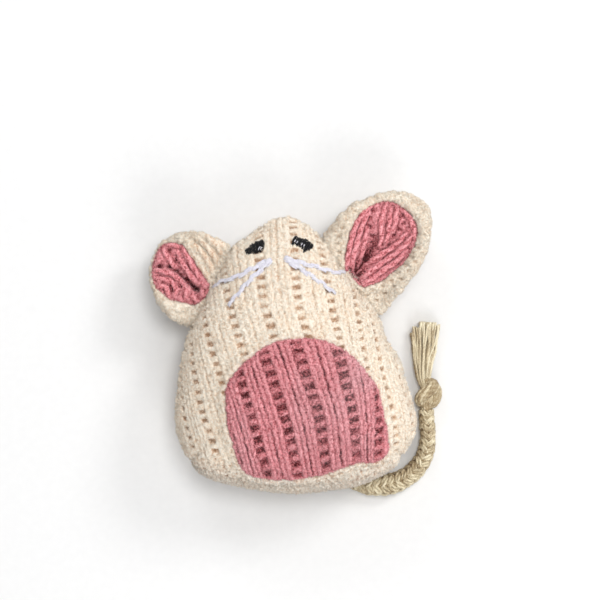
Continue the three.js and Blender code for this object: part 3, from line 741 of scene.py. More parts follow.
def bundle(shape, path, radius):
    """Soft yarns laid side by side round a path, with a slow twist."""
    _, across, up = frames_along(path)
    along = lengths_along(path)
    thick = radius * math.sin(math.pi / KNOT_YARNS) * 1.18
    # A dark core, painted shade, fills the gaps between the yarns
    tube(shape, path, radius * 0.8, sides=12, tone=0.9)
    for k in range(KNOT_YARNS):
        out = spoke(across, up, FULL_TURN * (k / KNOT_YARNS + along / KNOT_TWIST_PITCH))
        sway = 1 + 0.05 * np.sin(along * 0.8 + 6 * rng.random())
        tube(shape, path + out * ((radius - thick) * sway)[:, None], thick, plies=2,
             ply_pitch=2.1, ply_depth=0.28, tone=0.1 + 0.5 * rng.random())


FLUFF_FLOOR = 0.03


def fluff(shape, density, length, radius):
    """Adds loose fibre ends to a rope's yarns."""
    shape.join(fibres_of(shape, len(shape.quads), density, length, radius, 0.3))
    shape.points[:, 2] = np.maximum(shape.points[:, 2], FLUFF_FLOOR)


def fine_path(points, spacing):
    length = lengths_along(smooth_curve(points, 400))[-1]
    return smooth_curve(points, int(length / spacing) + 1), length


# How much fuller than the radii of its route the braid is
ROPE_FULLNESS = 1.1


def make_rope():
    route = TAIL_ROUTE[:, :3]
    path, length = fine_path(route, 0.3)
    share = np.linspace(0, 1, len(path))
    radius = np.interp(share, np.linspace(0, 1, len(TAIL_ROUTE)), TAIL_ROUTE[:, 3])
    shape = Shape()
    braid(shape, path, radius * ROPE_FULLNESS)
    fluff(shape, 9.0, 0.8, 0.08)
    rope = made_piece(shape, "braided_tail_rope", "cotton_rope", None)
    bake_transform(rope)
    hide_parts("tail_rope")
    return rope, path, length


KNOT_RADIUS = 2.3
KNOT_ROUTE = [
    (0.1, -5.4, -1.75), (0.0, -4.2, -1.6), (-0.4, -1.6, -0.8), (-0.2, 1.4, -0.9), (1.6, 3.3, -1.2),
    (3.3, 2.0, -0.7), (3.3, -0.8, -0.4), (2.1, -2.6, -1.2), (-0.2, -2.9, -1.9), (-2.1, -1.9, -0.6),
    (-1.6, -0.2, 1.5), (0.4, 1.4, 2.4), (2.4, 3.1, 1.5), (2.2, 4.1, -0.4), (0.4, 4.3, -1.3),
    (-0.6, 5.8, -1.4),
]
KNOT_HEART = [(0.2, -2.4, -0.3), (0.9, -0.2, 0.2), (1.2, 2.2, -0.3)]
KNOT_HEART_RADIUS = 2.1


def make_knot():
    path, _ = fine_path(KNOT_MIDDLE + np.array(KNOT_ROUTE), 0.34)
    share = np.linspace(0, 1, len(path))
    shape = Shape()
    bundle(shape, path, KNOT_RADIUS - 0.3 * smoothstep(share, 0.85, 1))
    bundle(shape, smooth_curve(KNOT_MIDDLE + np.array(KNOT_HEART), 16), KNOT_HEART_RADIUS)
    fluff(shape, 7.0, 0.8, 0.08)
    knot = made_piece(shape, "overhand_tail_knot", "cotton_rope", "tail")
    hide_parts("tail_knot")
    return knot


# Levels of the tassel along y, each with the x of the tassel's middle there and its width
TASSEL_SHAPE = [
    (-12.3, 47.6, 4.0), (-10.5, 47.3, 4.9), (-8.7, 47.0, 5.8), (-3.3, 46.9, 7.6), (2.0, 47.1, 9.7),
    (6.5, 47.25, 11.2), (12.4, 47.35, 11.8),
]
# Clumps of yarn at the tips: place and spread as shares of half the width, yarns, distance short
TASSEL_CLUMPS = [
    (-0.93, 0.07, 5, 4.2), (-0.60, 0.17, 14, 1.9), (-0.10, 0.24, 22, 0.1), (0.45, 0.24, 20, 0.35),
    (0.93, 0.07, 6, 1.2),
]
TASSEL_TOP = 12.2
# Lowest that the middle of a yarn may lie
YARN_FLOOR = 0.5


def make_tassel():
    shape = Shape()
    levels, middles, widths = np.array(TASSEL_SHAPE).T
    start = levels[0]
    for centre, spread, yarns, short in TASSEL_CLUMPS:
        for _ in range(yarns):
            tip_side = centre + spread * (2 * rng.random() - 1)
            neck_side = np.clip(0.8 * tip_side + 0.35 * (2 * rng.random() - 1), -0.95, 0.95)
            deep = 2 * rng.random() - 1
            y = np.linspace(start, TASSEL_TOP - short - 0.7 * rng.random(), 46)
            share = (y - start) / (TASSEL_TOP - start)
            half = np.interp(y, levels, widths) / 2 - 0.4
            side = lerp(neck_side, tip_side, smoothstep(share, 0.25, 0.95))
            phase = FULL_TURN * rng.random(3)
            x = np.interp(y, levels, middles) + half * side
            x += 0.42 * share * np.sin(share * 8 + phase[0])
            x += 0.16 * share * np.sin(share * 21 + phase[1])
            tall = lerp(2.0, 1.5, share) * np.sqrt(1 - 0.8 * side ** 2)
            z = lerp(3.0, 2.1, share) + tall * deep + 0.2 * share * np.sin(share * 11 + phase[2])
            path = np.column_stack([x, y, np.maximum(z, YARN_FLOOR)])
            radius = 0.33 + 0.22 * rng.random() ** 2 + 0.16 * smoothstep(share, 0.9, 1)
            # Yarns lying lower get painted shade, with random tone on top; the tips are made
            # lighter
            tone = 0.25 * (1 - deep) + 0.36 * rng.random() ** 1.5
            tone = np.maximum(tone - 0.25 * smoothstep(share, 0.8, 1), 0)
            tube(shape, path, radius, plies=2, ply_pitch=1.5, ply_depth=0.35, tone=tone)
    fluff(shape, 4.0, 0.7, 0.06)
    tassel = made_piece(shape, "frayed_tail_tassel", "cotton_rope", "tail")
    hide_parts("tail_tassel")
    return tassel


make_camera()
rope, rope_path, rope_length = make_rope()
knot = make_knot()
tassel = make_tassel()
[tuple(p * MM) for p in rope_path[::3]]


# Body surface

BODY_EDGE = smooth_curve(np.array(BODY_OUTLINE) * BODY_HALF, 1400, closed=True)
# The cloth's base lies this far inside the outline, so that its pile reaches the outline
PILE_STAND = 0.6
NOTCH_TURNS = (math.radians(-134.7), math.radians(-43.8))
NOTCH_DEPTH = 1.0
NOTCH_WIDTH = 0.026
# Distance over which a slope is measured
PROBE = 0.3
# Lowest that the cloth's base and the cloth itself may lie
BACK_FLOOR = 0.6
CLOTH_FLOOR = 0.05
# The gusset's seam is looked for this far to either side, and reported far off beyond it
GUSSET_REACH = 43
FAR = 999


def body_rim(turn):
    reach = reach_of(BODY_EDGE, turn) - PILE_STAND
    for corner in NOTCH_TURNS:
        reach = reach - NOTCH_DEPTH * bell(wrapped(turn - corner), 0, NOTCH_WIDTH)
    return reach


def base_weight(x, y):
    return smoothstep(-y / np.maximum(np.hypot(x, y), PROBE), 0.35, 0.85)


def rounded_drop(share, exponent):
    return np.maximum(0, 1 - share ** exponent) ** (1 / exponent)


def front_height(x, y, share):
    headward = smoothstep(y / (2 * BODY_HALF[1]), -0.1, 0.5)
    ridge = lerp(BELLY_HEIGHT, HEAD_HEIGHT, headward)
    drop = rounded_drop(share, 2.2 + 0.5 * base_weight(x, y))
    return SEAM_HEIGHT + (ridge - SEAM_HEIGHT) * drop


def back_height(x, y, share):
    drop = rounded_drop(share, 3.4 - 0.9 * base_weight(x, y))
    return np.maximum(BACK_FLOOR, SEAM_HEIGHT - (SEAM_HEIGHT + REST_SINK) * drop)


def gusset_seam_y(x):
    return GUSSET_CORNER_Y - GUSSET_BOW * (1 - (x / BODY_HALF[0]) ** 2)


def seam_share(turn):
    """Share of the way to the rim at which the base gusset's seam lies, or 1 where none is."""
    x = np.linspace(-GUSSET_REACH, GUSSET_REACH, 900)
    y = gusset_seam_y(x)
    reach = np.interp(wrapped(turn), np.arctan2(y, x), np.hypot(x, y), left=FAR, right=FAR)
    return np.minimum(1, reach / body_rim(turn))


def surface(turn, share, height):
    rim = body_rim(turn)
    x, y = share * rim * np.cos(turn), share * rim * np.sin(turn)
    return np.stack([x, y, height(x, y, np.minimum(share, 1))], axis=1)


def front_point(x, y, lift):
    """Points a given distance off the front, and the direction straight out of it."""
    def height(px, py):
        share = np.hypot(px, py) / body_rim(np.arctan2(py, px))
        return front_height(px, py, np.minimum(share, 1))

    z = height(x, y)
    away = unit(np.column_stack([
        (z - height(x + PROBE, y)) / PROBE, (z - height(x, y + PROBE)) / PROBE, np.ones(len(z))]))
    return np.column_stack([x, y, z]) + away * lift[:, None], away


def unrolled(x, y, rise):
    """Place on the cloth, as if the swelling surface were rolled out flat from its middle."""
    turn = np.arctan2(y, x)
    rim = body_rim(turn)
    tilt = np.arcsin(np.clip(np.hypot(x, y) / rim, 0, 1))
    nodes, weights = np.polynomial.legendre.leggauss(8)
    at = tilt[:, None] * (nodes + 1) / 2
    speed = np.sqrt((rim[:, None] * np.cos(at)) ** 2 + (rise * np.sin(at)) ** 2)
    length = (weights * speed).sum(axis=1) * tilt / 2
    return length * np.cos(turn), length * np.sin(turn)


# Knit

# Columns of ladder holes as they lie in the photograph, in its steps
CREAM_COLUMNS = [
    [(183, 401), (191, 439)], [(192, 357), (220, 463)], [(204, 311), (223, 383)],
    [(232, 313), (245, 355)], [(260, 255), (262, 285), (265, 305), (274, 336)],
    [(294.5, 250), (296, 285), (299, 309), (306, 329)], [(326, 275), (332, 309), (337, 331)],
    [(350, 280), (357, 308), (364, 351)],
    [(371, 320), (375, 337), (380, 366), (388, 394), (395, 431), (395, 452)],
]
PINK_COLUMNS = [
    [(181, 375), (206, 472)], [(214, 375), (236.5, 450), (242, 472)], [(241, 375), (268, 472)],
    [(265, 357), (288, 426), (298, 472)], [(296, 349), (318, 408), (326, 466)],
    [(339, 360), (354, 421), (356, 454)], [(375, 380), (376.5, 400), (374.6, 457)],
    [(405, 380), (407, 400), (405, 457)],
]


# Columns are carried on this far past their ends, and lie at least this far apart
COLUMN_REACH = 90.0
COLUMN_GAP = 6
RIBS = 4
# Share of the way between two columns that half a ladder takes
LADDER = 0.13


def line_of(points):
    """Column as a function of height, carried on straight at both ends."""
    points = points[np.argsort(points[:, 1])]
    first, last = points[0] - points[1], points[-1] - points[-2]
    start = points[0] + first * COLUMN_REACH / max(-first[1], TINY)
    end = points[-1] + last * COLUMN_REACH / max(last[1], TINY)
    return np.vstack([start, points, end])


def wale_at(x, y, columns, side_spacing, side_count):
    """How many columns lie to the left of each place, with the share of the way to the next."""
    crossings = [np.interp(y, line[:, 1], line[:, 0]) for line in columns]
    for _ in range(side_count):
        crossings.insert(0, crossings[0] - side_spacing)
        crossings.append(crossings[-1] + side_spacing)
    total = np.zeros(len(x))
    for k, left in enumerate(crossings[:-1]):
        crossings[k + 1] = np.maximum(crossings[k + 1], left + COLUMN_GAP)
        total += np.clip((x - left) / (crossings[k + 1] - left), 0, 1)
    return total


# Returns height over the cloth's middle, and tone from 0 on top of the yarn to 1 in deep shade
def knit(wale, course, uneven, ladder=LADDER, rib=0.32, groove=0.2, middle=0.22, hole=0.75,
         slant=0.14, gap=0.37, pit_shade=0.66, rung_shade=0.05):
    """Ladder-rib knit: ribs between columns of rungs. Uneven is noise from -1 to 1."""
    gap = gap + 0.1 * uneven
    middle = middle * np.clip(0.8 + 1.1 * uneven, 0.0, 1.6)
    part = wale - np.floor(wale)
    offset = (part + 0.5) % 1 - 0.5
    u = np.clip((part - ladder) / (1 - 2 * ladder), 0, 1) * RIBS
    lean = np.where(np.floor(u) % 2 == 0, 1.0, -1.0)
    u = u + 0.07 * np.sin(FULL_TURN * course) * np.sin(math.pi * np.clip(u, 0, RIBS) / RIBS)
    across = 2 * (u % 1) - 1
    round_rib = np.sqrt(np.clip(1 - 0.97 * across ** 2, 0, 1))
    crease = bell((course + 0.42 * lean * across) % 1, 0.5, 0.11) * round_rib
    deep = bell(u, RIBS / 2, 0.2)
    ribs = -groove + (groove + rib) * round_rib - middle * deep - 0.12 * crease
    rung = np.abs(((course - slant * offset / ladder / 2) % 1) - 0.5) * 2
    bar = smoothstep(rung, gap - 0.13, gap + 0.15)
    ladders = lerp(-hole, rib - 0.5 + 0.5 * np.sqrt(np.clip(rung, 0, 1)), bar)
    weight = smoothstep(np.abs(offset), ladder * 0.74, ladder * 1.06)
    # Painted shade: darker on the sides of the ribs, in the middle groove and creases, at the
    # rungs' edges, and most in the holes
    rib_shade = groove * (1 - round_rib) + 0.8 * middle * deep + 0.07 * crease
    ladder_shade = lerp(pit_shade + 0.2 * uneven, rung_shade + 0.16 * (1 - rung), bar)
    return lerp(ladders, ribs, weight), lerp(ladder_shade, rib_shade, weight)


def handmade(points, seed):
    """Slight waviness of columns and courses, and unevenness of the stitches."""
    uneven = noise(points, 3.2, seed + 2)
    return 0.03 * noise(points, 9, seed), 0.16 * noise(points, 8, seed + 1), uneven


# Sizes of the yarn's tufts, of the fine grain on them, of flecks of shade and of slow swells
TUFT_SIZE = 1.05
FINE_SIZE = 0.62
FLECK_SIZE = 0.6
SWELL_SIZE = 7.0


def pile(points, amount, seed):
    """Unevenness of the velvety yarn, and its tone: painted shade between the tufts, with random
    grain.
    """
    tuft = tufts(points, TUFT_SIZE, seed)
    fine = noise(points, FINE_SIZE, seed + 1)
    grain = rng.random(len(points)) - 0.5
    height = amount * (0.52 * (tuft - 0.6) + 0.12 * fine + 0.30 * grain)
    height += 0.22 * noise(points, SWELL_SIZE, seed + 2)
    return height, 0.30 * (0.6 - tuft) - 0.06 * fine - 0.16 * grain


def dress(shape, count, height, tone, seed, amount=1.0):
    """Moves the first points of a shape out by its yarn, along its own normals."""
    normals = shape.normals()
    rough, shade = pile(shape.points[:count], amount, seed)
    shape.points[:count] += normals[:count] * (height + rough)[:, None]
    flecks = 1 + 0.45 * noise(shape.points[:count], FLECK_SIZE, seed + 5)
    shape.tone[:count] = np.clip(tone * flecks + shade, 0, 1)


def make_fibres(shape, sheet_quads, name, slot, body, density=6.0, speckle=FIBRE_SPECKLE):
    return made_piece(fibres_of(shape, sheet_quads, density, speckle=speckle), name, slot, body)


def fuzz(points):
    """Lumps of a plain fuzzy cloth, and the grain of light and dark fibres over them."""
    grain = 0.8 * noise(points, 0.7, 51) + 0.6 * (rng.random(len(points)) - 0.5)
    return tufts(points, 1.15, 9) - 0.5, grain


def seam_pinch(distance):
    """How far the cloth is drawn in beside a seam."""
    return 0.2 * bell(distance, 0, 0.9)


# The cloth's inner face is its outer one shrunk to these shares round the body's middle
INNER_SHARES = (0.93, 0.93, 0.72)


def inward(points):
    middle = np.array([0, 0, SEAM_HEIGHT])
    return middle + (points - middle) * INNER_SHARES


BASE_COOL = 0.18
PANEL_RINGS = (1.0, 0.9, 0.72, 0.45, 0.15)
# About how far the panel's edge lies from its middle, over the cloth
PANEL_REACH = 52
CREAM_COURSE = 3.62
CREAM_SIDE_SPACING = 9.5
# How deep the front is pressed in under the patch
PATCH_BED = 2.2


def knit_panel(name, height, rise, columns, size, back):
    def top(turn, share):
        return surface(turn, seam_share(turn) * np.sin(share * math.pi / 2), height)

    def bottom(turn, share):
        return inward(top(turn, share))

    shape, count = pillow(size, PANEL_RINGS, top, bottom)
    share, _ = disc_grid(size)
    points = shape.points[:count]
    ux, uy = unrolled(points[:, 0], points[:, 1], rise)
    shift, skew, uneven = handmade(flat_points(ux, uy), 3 if back else 5)
    wale = wale_at(ux, uy, columns, CREAM_SIDE_SPACING, 3) + shift
    relief, tone = knit(wale, uy / CREAM_COURSE + skew + 0.08 * wale, uneven)
    edge = (1 - share) * PANEL_REACH
    calm = smoothstep(edge, 0.0, 1.6)
    relief = relief * calm - seam_pinch(edge)
    tone = tone * calm + 0.1 * (1 - calm)
    knobs = tufts(points, 1.9, 17) - 0.5
    relief = relief + 1.5 * knobs * (1 - smoothstep(edge, 1.0, 5.0))
    above = points[:, 1] - gusset_seam_y(points[:, 0])
    plain = 0.85 * (1 - smoothstep(above, 2.5, 8.5))
    clump, grain = fuzz(points)
    relief = lerp(relief, 1.1 * clump, plain)
    # Near the base: painted shade between the lumps, with random grain
    tone = lerp(tone, 0.12 - 0.8 * clump + grain, plain)
    if back:
        relief = relief * smoothstep(points[:, 2], 0.6, 3.5)
    else:
        inside = inset_in(PATCH_EDGE, PATCH_MIDDLE, points[:, 0], points[:, 1])
        relief = relief + (0.7 + 0.9 * knobs) * bell(inside, -1.3, 1.3)
        relief = lerp(relief, -PATCH_BED, smoothstep(inside, 0.2, 1.8))
    dress(shape, count, relief, tone, 4 if back else 0, lerp(2.0, 1, smoothstep(edge, 0.5, 4)))
    shape.points[:, 2] = np.maximum(shape.points[:, 2], CLOTH_FLOOR)
    shape.cool = np.zeros(len(shape.points))
    shape.cool[:count] = BASE_COOL * (1 - smoothstep(above, -2.0, 8.0))
    make_fibres(shape, (size - 1) ** 2, f"{name}_pile", "cream_chenille", "body")
    return made_piece(shape, name, "cream_chenille")


# The patch's edge in steps of the photograph, in which its height brings it closer by PATCH_NEAR
PATCH_STEPS = [
    (382, 409), (378, 390), (367, 374), (355, 359), (341, 348), (324, 341), (306, 338),
    (287, 339.5), (269, 345), (253, 356), (237.5, 369), (227, 387), (226, 409), (229, 431),
    (234.5, 451), (240, 465), (248, 473), (265, 478.5), (287, 479), (306, 477), (323, 474),
    (340, 468), (359, 462), (376, 461), (385.5, 455), (388, 444), (387, 431),
]
VIEW_MIDDLE = np.array([300.0, 300.0])
PATCH_NEAR = 1.009
PATCH_FLUFF = 0.5
PATCH_EDGE_WAVE = 0.3
PATCH_EDGE = smooth_curve(
    steps_to_mm(VIEW_MIDDLE + (np.array(PATCH_STEPS) - VIEW_MIDDLE) / PATCH_NEAR) - PATCH_MIDDLE,
    900, closed=True)
edge_wave = PATCH_EDGE_WAVE * noise(flat_points(*PATCH_EDGE.T), 1.5, 61)
PATCH_EDGE = PATCH_EDGE + (edge_wave - PATCH_FLUFF)[:, None] * unit(PATCH_EDGE)
FRONT_RISE = BELLY_HEIGHT - SEAM_HEIGHT
FRONT_GRID = 296
BACK_GRID = 250
BACK_COLUMN_SPACING = 11.0
BACK_COLUMN_REACH = 49.5

front_lines = [
    line_of(np.stack(unrolled(*steps_to_mm(column).T, FRONT_RISE), axis=1))
    for column in CREAM_COLUMNS
]
front = knit_panel("knitted_front", front_height, FRONT_RISE, front_lines, FRONT_GRID, back=False)
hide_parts("front_panel")

back_lines = [
    np.array([(x, -COLUMN_REACH), (x, COLUMN_REACH)])
    for x in np.arange(-BACK_COLUMN_REACH, BACK_COLUMN_REACH + 0.5, BACK_COLUMN_SPACING)
]
back = knit_panel("knitted_back", back_height, SEAM_HEIGHT, back_lines, BACK_GRID, back=True)
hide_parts("back_panel")

GUSSET_TURNS = (math.radians(-134), math.radians(-46))
# The gusset stops where it gets narrower than this share
GUSSET_END = 0.9995
# About how far the gusset's cloth goes round the base for each unit of angle
GUSSET_ROUND = 24


def make_gusset():
    turns = np.linspace(*GUSSET_TURNS, 330)
    shares = seam_share(turns)
    turns = turns[shares < GUSSET_END]
    start = np.arcsin(shares[shares < GUSSET_END])
    levels = np.linspace(0, 1, 96)
    tilt = lerp(start[None], math.pi - start[None], levels[:, None])
    turn = np.broadcast_to(turns, tilt.shape).ravel()
    front_side = surface(turn, np.sin(tilt).ravel(), front_height)
    back_side = surface(turn, np.sin(tilt).ravel(), back_height)
    outer = np.where((tilt.ravel() < math.pi / 2)[:, None], front_side, back_side)
    shape, count = slab(outer.reshape(*tilt.shape, 3), inward(outer).reshape(*tilt.shape, 3))
    span = (math.pi - 2 * start)[None] * GUSSET_ROUND
    edge = (np.minimum(levels, 1 - levels)[:, None] * span).ravel()
    clump, grain = fuzz(shape.points[:count])
    relief = 1.3 * clump - seam_pinch(edge)
    # Painted shade between the lumps and along the seams, with random grain
    tone = 0.02 - 0.9 * clump + grain + 0.08 * bell(edge, 0, 0.9)
    dress(shape, count, relief, tone, 8, 1.5)
    shape.points[:, 2] = np.maximum(shape.points[:, 2], CLOTH_FLOOR)
    shape.cool = np.full(len(shape.points), BASE_COOL)
    rows, columns = tilt.shape
    sheet_quads = (rows - 1) * (columns - 1)
    make_fibres(shape, sheet_quads, "base_gusset_pile", "cream_chenille", "body", 9.0, 0.6)
    gusset = made_piece(shape, "fuzzy_base_gusset", "cream_chenille")
    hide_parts("base_gusset")


make_gusset()


# Belly patch

PATCH_GRID = 292
PATCH_RINGS = (0.97, 0.8, 0.5, 0.2)
PATCH_UNDER = 0.6
PINK_COURSE = 3.95
# Middle and size of the patch's paler place, and how pale it is
PALE_MIDDLE = (21, -12)
PALE_SIZE = (7, 16)
PALE_COOL = 0.12
PILE_SPECKLE = 0.34


def make_patch():
    def top(turn, share):
        lift = 0.1 + (PATCH_THICKNESS + 0.1) * rounded_drop(share, 9.0)
        return front_point(*place_in(PATCH_EDGE, PATCH_MIDDLE, turn, share), lift)[0]

    def bottom(turn, share):
        lift = np.full(len(turn), -PATCH_UNDER)
        return front_point(*place_in(PATCH_EDGE, PATCH_MIDDLE, turn, share), lift)[0]

    shape, count = pillow(PATCH_GRID, PATCH_RINGS, top, bottom)
    share, turn = disc_grid(PATCH_GRID)
    x, y = place_in(PATCH_EDGE, PATCH_MIDDLE, turn, share)
    flat = flat_points(x, y)
    shift, skew, uneven = handmade(flat, 21)
    lines = [line_of(steps_to_mm(column)) for column in PINK_COLUMNS]
    wale = wale_at(x, y, lines, 0, 0) + 0.7 * shift
    course = y / PINK_COURSE + skew + 0.06 * wale
    relief, tone = knit(wale, course, uneven, ladder=0.165, rib=0.42, groove=0.46, middle=0.85,
                        hole=1.0, slant=0.3, gap=0.53, pit_shade=0.72, rung_shade=0.26)
    edge = (1 - share) * reach_of(PATCH_EDGE, turn)
    calm = smoothstep(edge, 0.1, 1.6)
    dress(shape, count, relief * calm, lerp(0.2, tone, calm), 12)
    shape.cool = np.zeros(len(shape.points))
    # A paler, greyer place on the patch's right, and random pale patches
    paler = bell(x, PALE_MIDDLE[0], PALE_SIZE[0]) * bell(y, PALE_MIDDLE[1], PALE_SIZE[1])
    shape.cool[:count] = PALE_COOL * paler + 0.08 * smoothstep(noise(flat, 11, 14), 0.0, 0.8)
    make_fibres(shape, (PATCH_GRID - 1) ** 2, "belly_patch_pile", "pink_chenille", "body", 8.0,
                PILE_SPECKLE)
    patch = made_piece(shape, "knitted_belly_patch", "pink_chenille")
    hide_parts("belly_patch")


make_patch()


# Face

# How deep the ends of a satin stitch go in, and how far an eye's outline is drawn in for its yarn
STITCH_SINK = 0.35
EYE_SHRINK = 0.4
SHORTEST_STITCH = 0.5


def stitches(shape, outline, direction, spacing, radius, lift, wander):
    """Satin stitches side by side across an outline, each an arched thread over the knit."""
    along = np.array([math.cos(math.radians(direction)), math.sin(math.radians(direction))])
    across = np.array([-along[1], along[0]])
    ring = smooth_curve(steps_to_mm(outline), 200, closed=True)
    ring = ring - EYE_SHRINK * unit(ring - ring.mean(axis=0))
    places = ring @ along
    for place in np.arange(places.min() + spacing / 2, places.max(), spacing):
        near = ring[np.abs(places - place) < spacing * 0.75] @ across
        if len(near) < 2:
            continue
        low, high = near.min() - wander * rng.random(), near.max() + wander * rng.random()
        if high - low < SHORTEST_STITCH:
            continue
        share = np.linspace(0, 1, 12)
        shift = place + 0.12 * (rng.random() - 0.5) + 0.25 * (share - 0.5)
        flat = along * shift[:, None] + across * lerp(low, high, share)[:, None]
        arch = np.sin(math.pi * share) ** 0.45
        path, _ = front_point(flat[:, 0], flat[:, 1], lerp(-STITCH_SINK, lift, arch))
        tube(shape, path, radius * (1 + 0.12 * (rng.random() - 0.5)), plies=2,
             ply_pitch=1.1, ply_depth=0.2, tone=0.25 * rng.random())


# Outline in steps of the photograph, slope of its stitches, and both ends of each small glint
EYES = {
    "left": ([(244.5, 252), (249, 247), (253, 243.5), (258, 240.8), (263, 239.8), (265.2, 242.5),
              (265.4, 246), (263, 249.8), (258, 252.2), (249, 254.6)], 28,
             [(258.8, 250.8, 261.2, 247), (261, 250.4, 262.6, 248)]),
    "right": ([(292.7, 237.5), (299, 237.4), (306, 239.8), (311, 243), (313, 248), (309, 251),
               (304.4, 252), (300.6, 248.6), (296.6, 245.8), (292, 245.6), (293.4, 241.5)], -28,
              [(293.8, 243.4, 295.6, 240.4), (296.2, 244.2, 297.6, 241.8),
               (300.6, 246.2, 302.2, 243.6), (303, 247.6, 304.2, 245)]),
}


GLINT_RADIUS = 0.15


def make_eye(side):
    outline, slope, glints = EYES[side]
    shape = Shape()
    stitches(shape, outline, slope, 0.46, 0.27, 0.72, 0.8)
    stitches(shape, outline, slope + 14, 0.5, 0.25, 0.50, 0.5)
    eye = made_piece(shape, f"stitched_{side}_eye", "black_thread")
    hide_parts(f"{side}_eye")
    light = Shape()
    share = np.linspace(0, 1, 12)
    for x1, y1, x2, y2 in glints:
        x, y = steps_to_mm(np.column_stack([lerp(x1, x2, share), lerp(y1, y2, share)])).T
        path, _ = front_point(x, y, 0.35 + 0.65 * np.sin(math.pi * share) ** 0.5)
        tube(light, path, GLINT_RADIUS, plies=2, ply_pitch=0.9, ply_depth=0.4,
             tone=0.6 * rng.random())
    spark = made_piece(light, f"stitched_{side}_glint", "white_thread")
    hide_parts(f"{side}_eye_glint")


for eye_side in EYES:
    make_eye(eye_side)

WHISKERS = {
    "left_upper": [(271.4, 259.5), (257, 267), (242, 275), (231, 279.5), (221, 283), (213, 288)],
    "left_lower": [(271.2, 260.6), (262, 269.5), (252, 279), (246, 285.5), (240, 293),
                   (228.6, 305.5)],
    "right_upper": [(284.3, 259), (299, 263), (316, 267.4), (328, 271.5), (337, 273), (346, 273.5)],
    "right_lower": [(285.2, 260.4), (299, 268.5), (311, 276.6), (323, 285), (329, 290), (335, 295)],
}


WHISKER_STITCH = 2.5
WHISKER_WIDTHS = (0.82, 0.5)
# Places of a stitch's strands across it, from -1 to 1
STRAND_LEANS = (-0.75, -0.25, 0.25, 0.75)


def make_whisker(name, points):
    """Backstitched thread: short stitches that overlap at their ends."""
    flat = smooth_curve(steps_to_mm(points), 240)
    count = int(round(lengths_along(flat)[-1] / WHISKER_STITCH))
    shape = Shape()
    for k in range(count):
        share = np.linspace(max(0.0, (k - 0.22) / count), min(1.0, (k + 1.12) / count), 16)
        x, y = (np.interp(share, np.linspace(0, 1, len(flat)), flat[:, axis]) for axis in (0, 1))
        arch = np.sin(math.pi * np.linspace(0, 1, 16)) ** 0.5
        path, away = front_point(x, y, 0.25 + 0.6 * arch)
        side = unit(np.cross(away[0], path[-1] - path[0]))
        path = path + side * ((0.2 + 0.1 * rng.random()) * (-1) ** k)
        thick = lerp(*WHISKER_WIDTHS, k / count)
        for lean in STRAND_LEANS:
            sway = 0.12 * np.sin(np.linspace(0, 5, 16) + 6 * rng.random())
            strand = path + side * (lean * thick + sway)[:, None] - away * (0.3 * lean ** 2)
            tube(shape, strand, thick * 0.36, plies=2, ply_pitch=1.2, ply_depth=0.4,
                 tone=0.75 * rng.random() ** 1.5)
    shape.join(fibres_of(shape, len(shape.quads), 16.0, 0.6, 0.1, 0.5))
    whisker = made_piece(shape, f"stitched_{name}_whisker", "white_thread")
    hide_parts(f"{name}_whisker")


for whisker_name, whisker_points in WHISKERS.items():
    make_whisker(whisker_name, whisker_points)


# Ears

